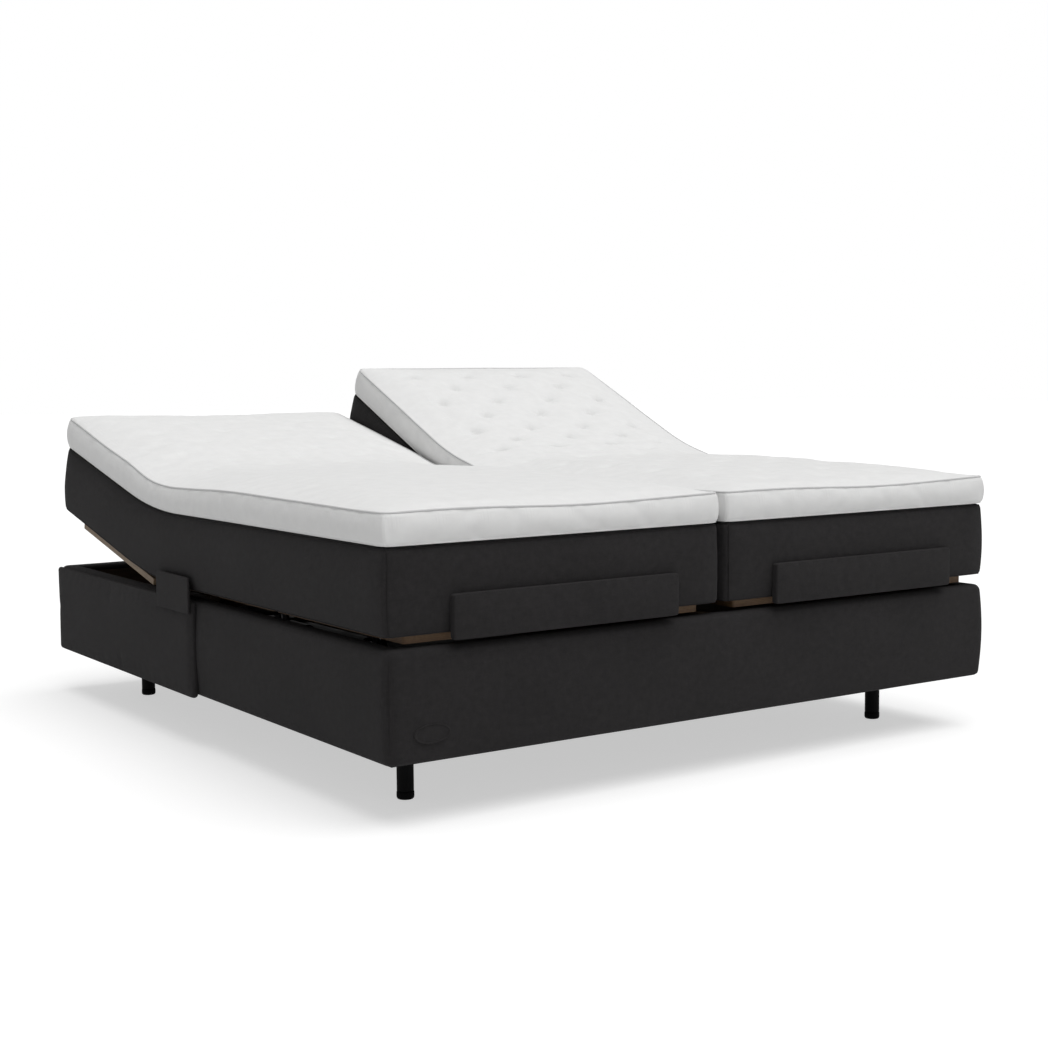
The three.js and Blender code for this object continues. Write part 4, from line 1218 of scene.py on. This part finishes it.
class BED_OT_upholstered_box(bpy.types.Operator):
    """Makes the padded cover round the box, its corner seams and a plain oval patch"""

    bl_idname = "bed.upholstered_box"
    bl_label = "Upholstered Box"

    def execute(self, context):
        sizes = context.scene.bed_sizes
        places = outline_places(sizes.corner_radius)
        profile = cover_profile(sizes.edge_radius)
        height = COVER_HIGH[2] - COVER_LOW[2]
        points = []
        for (x, y), out, dip in places:
            for inward, z in profile:
                level = (z - COVER_LOW[2]) / height
                soft = max(0.0, 1.0 - inward / 0.02) * math.sin(math.pi * min(1.0, max(0.0, level)))
                waver = noise.noise(Vector((x * 3.0, y * 3.0, z * 4.0))) * 0.0010
                free = float(smooth_step((0.03 - y) / 0.05))
                pushed = inward + (dip - waver - COVER_BULGE * free) * soft
                sunk = 0.0012 * noise.noise(Vector((x * 3.0, y * 3.0, 9.0))) * max(0.0, level - 0.9) * 10
                points.append((x - out[0] * pushed, y - out[1] * pushed, z - abs(sunk)))
        faces = ring_faces(len(places), len(profile), closed=True)
        working = new_object("box_cover_working", mesh_from("box_cover_working", points, faces))
        mesh = subdivided(working)
        remove(working)
        fix_normals(mesh)
        cloth_uv(mesh)
        cover = new_object("box_cover", mesh, "charcoal cloth")
        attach(cover, "base")
        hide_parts("cover_foot", "cover_head", "cover_left", "cover_right")
        self.seams(sizes)
        self.patch()
        return {"FINISHED"}

    def seams(self, sizes):
        """Sewn upright seams at the foot's left corner and the head's right one."""
        lines = []
        corner = sizes.corner_radius
        heights = np.linspace(COVER_LOW[2] + 0.012, COVER_HIGH[2] - 0.018, 16)
        swelling = np.sin(math.pi * (heights - COVER_LOW[2]) / (COVER_HIGH[2] - COVER_LOW[2]))
        for ends, side, bulge in ((COVER_LOW, -1, COVER_BULGE), (COVER_HIGH, 1, 0.0)):
            reach = math.sqrt(0.5) * (corner - SEAM_DIP + bulge * swelling) - corner
            lines.append(np.stack([ends[0] + side * reach, ends[1] + side * reach, heights], axis=1))
        piece = grow("box_corner_seams", lines_mesh("box_corner_seams", lines), piping_tree, "charcoal thread",
                     Radius=0.0014, Sides=6)
        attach(piece, "base")

    def patch(self):
        """A blank oval patch low on the foot face, with a raised sewn rim."""
        half_x, half_z = 0.045, 0.021
        level = (PATCH_Z - COVER_LOW[2]) / (COVER_HIGH[2] - COVER_LOW[2])
        centre = (PATCH_X, COVER_LOW[1] - COVER_BULGE * math.sin(math.pi * level), PATCH_Z)
        rings = ((0.0, 0.0016), (0.45, 0.0017), (0.80, 0.0013), (0.87, 0.0012), (0.92, 0.0030), (0.97, 0.0030),
                 (1.0, 0.0012), (1.01, -0.002))
        count = 40
        points = []
        for share, proud in rings:
            for step in range(count):
                turn = step / count * math.tau
                points.append((centre[0] + half_x * share * math.cos(turn), centre[1] - proud,
                               centre[2] + half_z * share * math.sin(turn)))
        faces = ring_faces(len(rings), count)
        faces.append(tuple((len(rings) - 1) * count + step for step in range(count)))
        mesh = mesh_from("oval_patch", points, faces)
        fix_normals(mesh)
        cloth_uv(mesh)
        piece = new_object("oval_patch", mesh, "charcoal cloth")
        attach(piece, "base")


# ---------------------------------------------------------------- padded boards on the box


def standing(points, facing):
    """Turns a pad that lies on z = 0 to stand with its front towards +X, -X or -Y."""
    x, y, z = points.T
    if facing == "foot":
        return np.column_stack([x, -z, y])
    if facing == "right":
        return np.column_stack([z, x, y])
    return np.column_stack([-z, -x, y])


def padded_board(name, node_name, facing, body, corner, edge, inset_seam, bulge, stitched=False):
    """A thin padded board that stands for a frame node, with a line inset_seam inside its edges.

    It starts thinner than its node by the bulge, because the cloth swells.
    """
    low, high = (np.array(value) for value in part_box(node_name))
    size = high - low
    if facing == "foot":
        width, height, thickness = size[0], size[2], PANEL_FRONT
    else:
        width, height, thickness = size[1], size[2], size[0]
    pad = slab(width - 0.003, height - 0.003, thickness - bulge, corner, edge, 0.014)
    top = pad.raw[:, 2] > pad.thickness - 1e-6
    groove = np.exp(-((pad.inset - inset_seam) / 0.0035) ** 2) * stitched
    pad.points[:, 2] -= np.where(top, 0.0016 * groove, 0.0)
    seam = np.abs(pad.inset - inset_seam) < 0.004
    pad.sewn = np.flatnonzero(~top | seam)
    if facing != "foot" and width > 0.5:  # a side panel: lower than its node, and curved in at the head
        upper = pad.points[:, 1] > 0
        pad.points[:, 1] -= 0.0032 * upper
        headward = pad.points[:, 0] * (1 if facing == "right" else -1)
        toward_head = np.clip((headward - width / 2 + 0.05) / 0.05, 0, 1)
        pad.points[:, 2] -= 0.014 * toward_head ** 2 * (pad.points[:, 2] / pad.thickness)
        pad.points[:, 1] -= 0.006 * toward_head ** 2 * (pad.points[:, 1] > 0)
    pad.points = standing(pad.points, facing)
    centre = (low + high) / 2
    if facing == "foot":
        pad.points += (centre[0], low[1] + PANEL_FRONT, centre[2])
    elif facing == "right":
        pad.points += (low[0], centre[1], centre[2])
    else:
        pad.points += (high[0], centre[1], centre[2])
    return SimpleNamespace(name=name, node=node_name, body=body, facing=facing, seam=inset_seam,
                           stitched=stitched, size=(width, height), thickness=thickness,
                           piece=pad_object(f"{name}_working", pad))


def finish_boards(boards, sizes):
    """Fills the boards with cloth pressure and adds their stitches."""
    settle([board.piece for board in boards], 1.2, 0.002, 0.004)
    for board in boards:
        mesh = subdivided(board.piece)
        remove(board.piece)
        cloth_uv(mesh)
        piece = new_object(board.name, mesh, "charcoal cloth")
        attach(piece, board.body)
        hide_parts(board.node)
        if not board.stitched:
            continue
        half = np.array(board.size) / 2 - board.seam - 0.0015
        corners = [(-1, -1), (1, -1), (1, 1), (-1, 1), (-1, -1)]
        flat = np.array([(half[0] * a, half[1] * b, board.thickness - 0.0012) for a, b in corners])
        places = points_of(mesh)
        middle = (places.min(axis=0) + places.max(axis=0)) / 2
        line = standing(flat, board.facing)
        axis = 1 if board.facing == "foot" else 0
        middle[axis] = 0.0
        line = line + middle
        low, high = (np.array(value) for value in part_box(board.node))
        front = {"foot": low[1], "right": high[0], "left": low[0]}[board.facing]
        inward = {"foot": 1, "right": -1, "left": 1}[board.facing]
        line[:, axis] = front + inward * 0.0030
        name = f"{board.name}_stitches"
        thread = grow(name, lines_mesh(name, [line]), stitch_tree, "charcoal thread",
                      Pitch=sizes.stitch_pitch, Thickness=0.0008)
        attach(thread, board.body)


class BED_OT_side_panels(bpy.types.Operator):
    """Makes the padded side panels and the side stops by the seats"""

    bl_idname = "bed.side_panels"
    bl_label = "Side Panels and Stops"

    def execute(self, context):
        boards = []
        for side in UNITS:
            boards.append(padded_board(f"side_panel_pad_{side}", f"side_panel_{side}", side, "base",
                                       corner=0.020, edge=0.009, inset_seam=0.018, bulge=0.0012))
            boards.append(padded_board(f"side_stop_pad_{side}", f"side_stop_{side}", side, "base",
                                       corner=0.008, edge=0.0035, inset_seam=0.010, bulge=0.0080))
        finish_boards(boards, context.scene.bed_sizes)
        return {"FINISHED"}


class BED_OT_foot_panels(bpy.types.Operator):
    """Makes the padded panels that hold the mattresses at the foot"""

    bl_idname = "bed.foot_panels"
    bl_label = "Foot Panels"

    def execute(self, context):
        boards = [
            padded_board(f"foot_panel_pad_{side}", f"foot_panel_{side}", "foot", f"calf_{side}",
                         corner=0.008, edge=0.0045, inset_seam=0.011, bulge=0.0010, stitched=True)
            for side in UNITS
        ]
        finish_boards(boards, context.scene.bed_sizes)
        return {"FINISHED"}


# ---------------------------------------------------------------- wood, steel and plastic


def refine(node_name, body, material, bevel):
    """A copy of a frame node with merged points and eased edges, which stands for it."""
    mesh = frame["nodes"][node_name].data.copy()
    fix_normals(mesh)
    work = bmesh.new()
    work.from_mesh(mesh)
    bmesh.ops.dissolve_limit(work, angle_limit=math.radians(0.5), verts=work.verts[:], edges=work.edges[:])
    for edge in work.edges:
        edge.smooth = edge.calc_face_angle(0.0) < math.radians(31)
    for face in work.faces:
        face.smooth = True
    work.to_mesh(mesh)
    work.free()
    piece = new_object(f"{node_name}_finished", mesh, material)
    eased = piece.modifiers.new("Eased edges", "BEVEL")
    eased.width = bevel
    eased.segments = 2
    eased.limit_method = "ANGLE"
    eased.angle_limit = math.radians(50)
    final = evaluated_mesh(piece)
    piece.modifiers.clear()
    piece.data = final
    bpy.data.meshes.remove(mesh)
    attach(piece, body)
    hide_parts(node_name)


class BED_OT_boards(bpy.types.Operator):
    """Finishes the plywood boards and adds the laths that widen the back boards"""

    bl_idname = "bed.boards"
    bl_label = "Boards"

    def execute(self, context):
        for unit in UNITS.values():
            for part, body in (("seat", "base"), ("thigh", f"thigh_{unit.name}"), ("calf", f"calf_{unit.name}"),
                               ("back", f"back_{unit.name}")):
                finish = f"plywood back {unit.name}" if part == "back" else "plywood"
                refine(f"{part}_board_{unit.name}", body, finish, 0.0009)
            self.lath(unit)
        return {"FINISHED"}

    def lath(self, unit):
        """A lath that widens the back board as far as the mattress's outer side."""
        inner = unit.x + unit.out * BOARD_SIDE
        outer = unit.x + unit.out * LATH_SIDE
        mesh = bpy.data.meshes.new(f"back_lath_{unit.name}")
        work = bmesh.new()
        bmesh.ops.create_cube(work, size=1.0)
        turn = Matrix.Rotation(unit.angle, 4, "X")
        hinge = Matrix.Translation((0.0, BACK_HINGE_Y, BACK_HINGE_Z))
        span, thick = 0.535, 0.0185
        size = Matrix.Diagonal((abs(outer - inner), span, thick, 1.0))
        spot = Matrix.Translation(((inner + outer) / 2, 0.022 + span / 2, DECK - BACK_HINGE_Z - thick / 2 - 0.0004))
        bmesh.ops.transform(work, matrix=hinge @ turn @ spot @ size, verts=work.verts[:])
        bmesh.ops.bevel(work, geom=work.edges[:], offset=0.0015, segments=2, affect="EDGES", profile=0.5)
        bmesh.ops.recalc_face_normals(work, faces=work.faces[:])
        work.to_mesh(mesh)
        work.free()
        mesh.polygons.foreach_set("use_smooth", [False] * len(mesh.polygons))
        piece = new_object(f"back_lath_{unit.name}", mesh, f"plywood back {unit.name}")
        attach(piece, f"back_{unit.name}")


class BED_OT_timber(bpy.types.Operator):
    """Finishes the rails, beam and bearers and adds their screws"""

    bl_idname = "bed.timber"
    bl_label = "Timber Frame"

    def execute(self, context):
        for name in ("rail_foot", "rail_head", "leg_bearer_foot", "leg_bearer_head"):
            refine(name, "base", "timber across", 0.0012)
        for name in ("rail_left", "rail_right", "centre_beam"):
            refine(name, "base", "timber along", 0.0012)
        places, directions = [], []
        for bearer in ("leg_bearer_foot", "leg_bearer_head"):
            low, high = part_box(bearer)
            for x in (low[0] + 0.03, high[0] - 0.03):
                for y in (low[1] + 0.010, high[1] - 0.010):
                    places.append((x, y, high[2]))
                    directions.append((0, 0, 1))
        for rail, out in (("rail_foot", 1), ("rail_head", -1)):
            low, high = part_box(rail)
            face = high[1] if out > 0 else low[1]
            for x in (-0.6, -0.3, 0.3, 0.6):
                for z in (0.19, 0.31):
                    places.append((x, face, z))
                    directions.append((0, out, 0))
        screws = grow("frame_screws", facing_mesh("frame_screws", places, directions), screw_tree, "plated steel",
                      Radius=context.scene.bed_sizes.screw_radius)
        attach(screws, "base")
        return {"FINISHED"}


def refined(values, longest):
    """Sorted values with more between them, so that no step is longer than the longest."""
    made = [values[0]]
    for start, end in zip(values, values[1:]):
        parts = max(1, math.ceil((end - start) / longest))
        made += [start + (end - start) * step / parts for step in range(1, parts + 1)]
    return made


class BED_OT_bottom_cloth(bpy.types.Operator):
    """Makes the thin black cloth that closes the box from below, with holes for the legs"""

    bl_idname = "bed.bottom_cloth"
    bl_label = "Bottom Cloth"

    def execute(self, context):
        low, high = np.array(COVER_LOW) + 0.013, np.array(COVER_HIGH) - 0.013
        level = COVER_LOW[2] - 0.0006
        hole, frame_half = 0.0215, 0.045
        centres = []
        for name in LEGS:
            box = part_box(name)
            centres.append(((box[0][0] + box[1][0]) / 2, (box[0][1] + box[1][1]) / 2))
        xs, ys = {low[0], high[0]}, {low[1], high[1]}
        for x, y in centres:
            xs.update((round(x - frame_half, 5), round(x + frame_half, 5)))
            ys.update((round(y - frame_half, 5), round(y + frame_half, 5)))
        xs = refined(sorted(xs), 0.08)
        ys = refined(sorted(ys), 0.08)
        points, faces, places = [], [], {}

        def place(x, y):
            key = (round(x, 5), round(y, 5))
            if key not in places:
                places[key] = len(points)
                sag = 0.0009 * (0.5 + 0.5 * noise.noise(Vector((x * 4, y * 4, 2.0))))
                points.append((x, y, level - sag))
            return places[key]

        for x0, x1 in zip(xs, xs[1:]):
            for y0, y1 in zip(ys, ys[1:]):
                middle = ((x0 + x1) / 2, (y0 + y1) / 2)
                if all(max(abs(middle[0] - c[0]), abs(middle[1] - c[1])) > frame_half for c in centres):
                    faces.append([place(*spot) for spot in ((x0, y0), (x1, y0), (x1, y1), (x0, y1))])
        for x, y in centres:
            inside = [(a, b) for a in xs for b in ys
                      if abs(max(abs(a - x), abs(b - y)) - frame_half) < 1e-4]
            inside.sort(key=lambda spot: math.atan2(spot[1] - y, spot[0] - x))
            square = [place(*spot) for spot in inside]
            ring = []
            for spot in inside:
                turn = math.atan2(spot[1] - y, spot[0] - x)
                ring.append(place(x + hole * math.cos(turn), y + hole * math.sin(turn)))
            for step in range(len(square)):
                after = (step + 1) % len(square)
                faces.append((ring[step], square[step], square[after], ring[after]))
        working = new_object("bottom_cloth_working", mesh_from("bottom_cloth_working", points, faces))
        solid = working.modifiers.new("Thickness", "SOLIDIFY")
        solid.thickness = 0.0005
        solid.offset = -1
        mesh = evaluated_mesh(working)
        remove(working)
        fix_normals(mesh)
        piece = new_object("bottom_cloth", mesh, "bottom cloth")
        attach(piece, "base")
        return {"FINISHED"}


class BED_OT_lifts(bpy.types.Operator):
    """Finishes the lift frames, push rods, drives and the bars that hold them"""

    bl_idname = "bed.lifts"
    bl_label = "Lifts and Drives"

    def execute(self, context):
        for unit in UNITS.values():
            for part in ("back_lift", "leg_lift"):
                refine(f"{part}_{unit.name}", f"{part}_{unit.name}", "grey powder coat", 0.0006)
            for part in ("back_rod", "leg_rod"):
                refine(f"{part}_{unit.name}", f"{part}_{unit.name}", "plated steel", 0.0005)
            for part in ("back_drive", "leg_drive"):
                refine(f"{part}_{unit.name}", "base", "black plastic", 0.0015)
        for name in ("drive_bar_foot", "drive_bar_head"):
            refine(name, "base", "grey powder coat", 0.0010)
        refine("control_unit", "base", "black plastic", 0.003)
        return {"FINISHED"}


def turned(name, profile, centre, segments=40):
    """A mesh turned about an upright axis from radius and height pairs that start and end on it."""
    points = []
    for radius, z in profile:
        for step in range(segments):
            turn = step / segments * math.tau
            points.append((centre[0] + radius * math.cos(turn), centre[1] + radius * math.sin(turn), z))
    mesh = mesh_from(name, points, ring_faces(len(profile), segments))
    fix_normals(mesh)
    return mesh


def sharpen(mesh, degrees):
    """Marks the edges that turn by more than an angle as sharp."""
    work = bmesh.new()
    work.from_mesh(mesh)
    for edge in work.edges:
        edge.smooth = edge.calc_face_angle(0.0) < math.radians(degrees)
    work.to_mesh(mesh)
    work.free()


class BED_OT_legs(bpy.types.Operator):
    """Makes the four round legs with their feet and top plates"""

    bl_idname = "bed.legs"
    bl_label = "Legs"

    def execute(self, context):
        radius = context.scene.bed_sizes.leg_radius
        for name in LEGS:
            low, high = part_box(name)
            centre = ((low[0] + high[0]) / 2, (low[1] + high[1]) / 2)
            widest = (high[0] - low[0]) / 2
            top = high[2]
            tube = [(0.0, 0.018), (radius - 0.002, 0.018), (radius, 0.0195), (radius, top - 0.010),
                    (radius, top - 0.008), (widest - 0.001, top - 0.006), (widest, top - 0.005),
                    (widest, top), (0.0, top)]
            foot = [(0.0, 0.0), (widest - 0.006, 0.0), (widest - 0.0025, 0.0010), (widest - 0.0006, 0.0035),
                    (widest, 0.0065), (widest, 0.0150), (widest - 0.0004, 0.0172), (radius - 0.001, 0.0185),
                    (0.0, 0.0185)]
            leg = new_object(f"{name}_tube", turned(f"{name}_tube", tube, centre), "black powder coat")
            pad = new_object(f"{name}_glide", turned(f"{name}_glide", foot, centre), "leg glide")
            for piece in (leg, pad):
                sharpen(piece.data, 40)
                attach(piece, "base")
            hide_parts(name)
        return {"FINISHED"}


# ---------------------------------------------------------------- stage


class BED_OT_stage(bpy.types.Operator):
    """Makes the pale floor, the soft lights and the camera"""

    bl_idname = "bed.stage"
    bl_label = "Stage"

    def execute(self, context):
        scene = context.scene
        scene.view_settings.view_transform = "Standard"
        size = 40.0
        corners = [(-size, -size, 0), (size, -size, 0), (size, size, 0), (-size, size, 0)]
        floor = new_object("floor", mesh_from("floor", corners, [(0, 1, 2, 3)]))
        material, tree, shader = new_material("pale floor")
        shade = spread(tree, noise_texture(tree, in_metres(tree), 0.6, 2.0), 0.3, 0.7, 0.54, 0.56)
        grey = node(tree, "ShaderNodeCombineColor", {0: shade, 1: shade, 2: shade}).outputs[0]
        tree.links.new(grey, shader.inputs["Base Color"])
        shader.inputs["Roughness"].default_value = 0.9
        shader.inputs["Emission Color"].default_value = (1.0, 1.0, 1.0, 1.0)
        seen = node(tree, "ShaderNodeLightPath").outputs["Is Camera Ray"]
        glow = spread(tree, seen, 0.0, 1.0, 0.20, 0.54)
        tree.links.new(glow, shader.inputs["Emission Strength"])
        floor.data.materials.append(material)
        self.world(scene)
        self.lights()
        self.camera(scene)
        return {"FINISHED"}

    def world(self, scene):
        """Soft light from everywhere, and a white background behind the floor."""
        world = bpy.data.worlds.new("studio")
        world.use_nodes = True
        tree = world.node_tree
        tree.nodes.clear()
        seen = node(tree, "ShaderNodeLightPath").outputs["Is Camera Ray"]
        strength = spread(tree, seen, 0.0, 1.0, 0.29, 1.0)
        light = node(tree, "ShaderNodeBackground", {"Color": (1.0, 1.0, 1.0, 1.0), "Strength": strength})
        node(tree, "ShaderNodeOutputWorld", {"Surface": light.outputs[0]})
        scene.world = world

    def lights(self):
        """A very soft light from above, a little from the foot end."""
        data = bpy.data.lights.new("soft light above", "SUN")
        data.energy = 2.35
        data.angle = math.radians(60)
        lamp = bpy.data.objects.new("soft light above", data)
        lamp.location = (0.0, -1.5, 4.0)
        lamp.rotation_euler = Vector((-0.12, 0.26, -1.0)).to_track_quat("-Z", "Y").to_euler()
        bpy.context.collection.objects.link(lamp)

    def camera(self, scene):
        """A camera low by the left side of the foot end."""
        yaw, pitch, roll = (math.radians(value) for value in (34.18, 5.09, -0.499))
        ahead = Vector((math.sin(yaw) * math.cos(pitch), math.cos(yaw) * math.cos(pitch), -math.sin(pitch)))
        right = Vector((math.cos(yaw), -math.sin(yaw), 0.0))
        up = right.cross(ahead)
        across = right * math.cos(roll) + up * math.sin(roll)
        upright = -right * math.sin(roll) + up * math.cos(roll)
        data = bpy.data.cameras.new("camera")
        data.lens = 57.15
        data.sensor_width = 36.0
        camera = bpy.data.objects.new("camera", data)
        turn = Matrix((across, upright, -ahead)).transposed().to_4x4()
        camera.matrix_world = Matrix.Translation((-2.5465, -3.9130, 0.9333)) @ turn
        bpy.context.collection.objects.link(camera)
        scene.camera = camera


# ---------------------------------------------------------------- the add-on


class BED_PT_sidebar(bpy.types.Panel):
    """Lists the bed's sizes, colours and pieces"""

    bl_idname = "BED_PT_sidebar"
    bl_label = "Adjustable Bed"
    bl_space_type = "VIEW_3D"
    bl_region_type = "UI"
    bl_category = "Bed"

    def draw(self, context):
        layout = self.layout
        for group in (context.scene.bed_sizes, context.scene.bed_colours):
            box = layout.box()
            for name in group.__annotations__:
                box.prop(group, name)
        for operator in OPERATORS:
            layout.operator(operator.bl_idname)


OPERATORS = (
    BED_OT_upholstered_box,
    BED_OT_side_panels,
    BED_OT_mattresses,
    BED_OT_toppers,
    BED_OT_foot_panels,
    BED_OT_boards,
    BED_OT_timber,
    BED_OT_lifts,
    BED_OT_bottom_cloth,
    BED_OT_legs,
    BED_OT_stage,
)
CLASSES = (BedSizes, BedColours, *OPERATORS, BED_PT_sidebar)


def register():
    for item in CLASSES:
        bpy.utils.register_class(item)
    bpy.types.Scene.bed_sizes = bpy.props.PointerProperty(type=BedSizes)
    bpy.types.Scene.bed_colours = bpy.props.PointerProperty(type=BedColours)


def unregister():
    del bpy.types.Scene.bed_colours
    del bpy.types.Scene.bed_sizes
    for item in reversed(CLASSES):
        bpy.utils.unregister_class(item)


def main():
    """Makes every piece in order."""
    register()
    make_materials(bpy.context.scene.bed_colours)
    for operator in OPERATORS:
        group, name = operator.bl_idname.split(".")
        getattr(getattr(bpy.ops, group), name)()


if __name__ == "__main__":
    main()
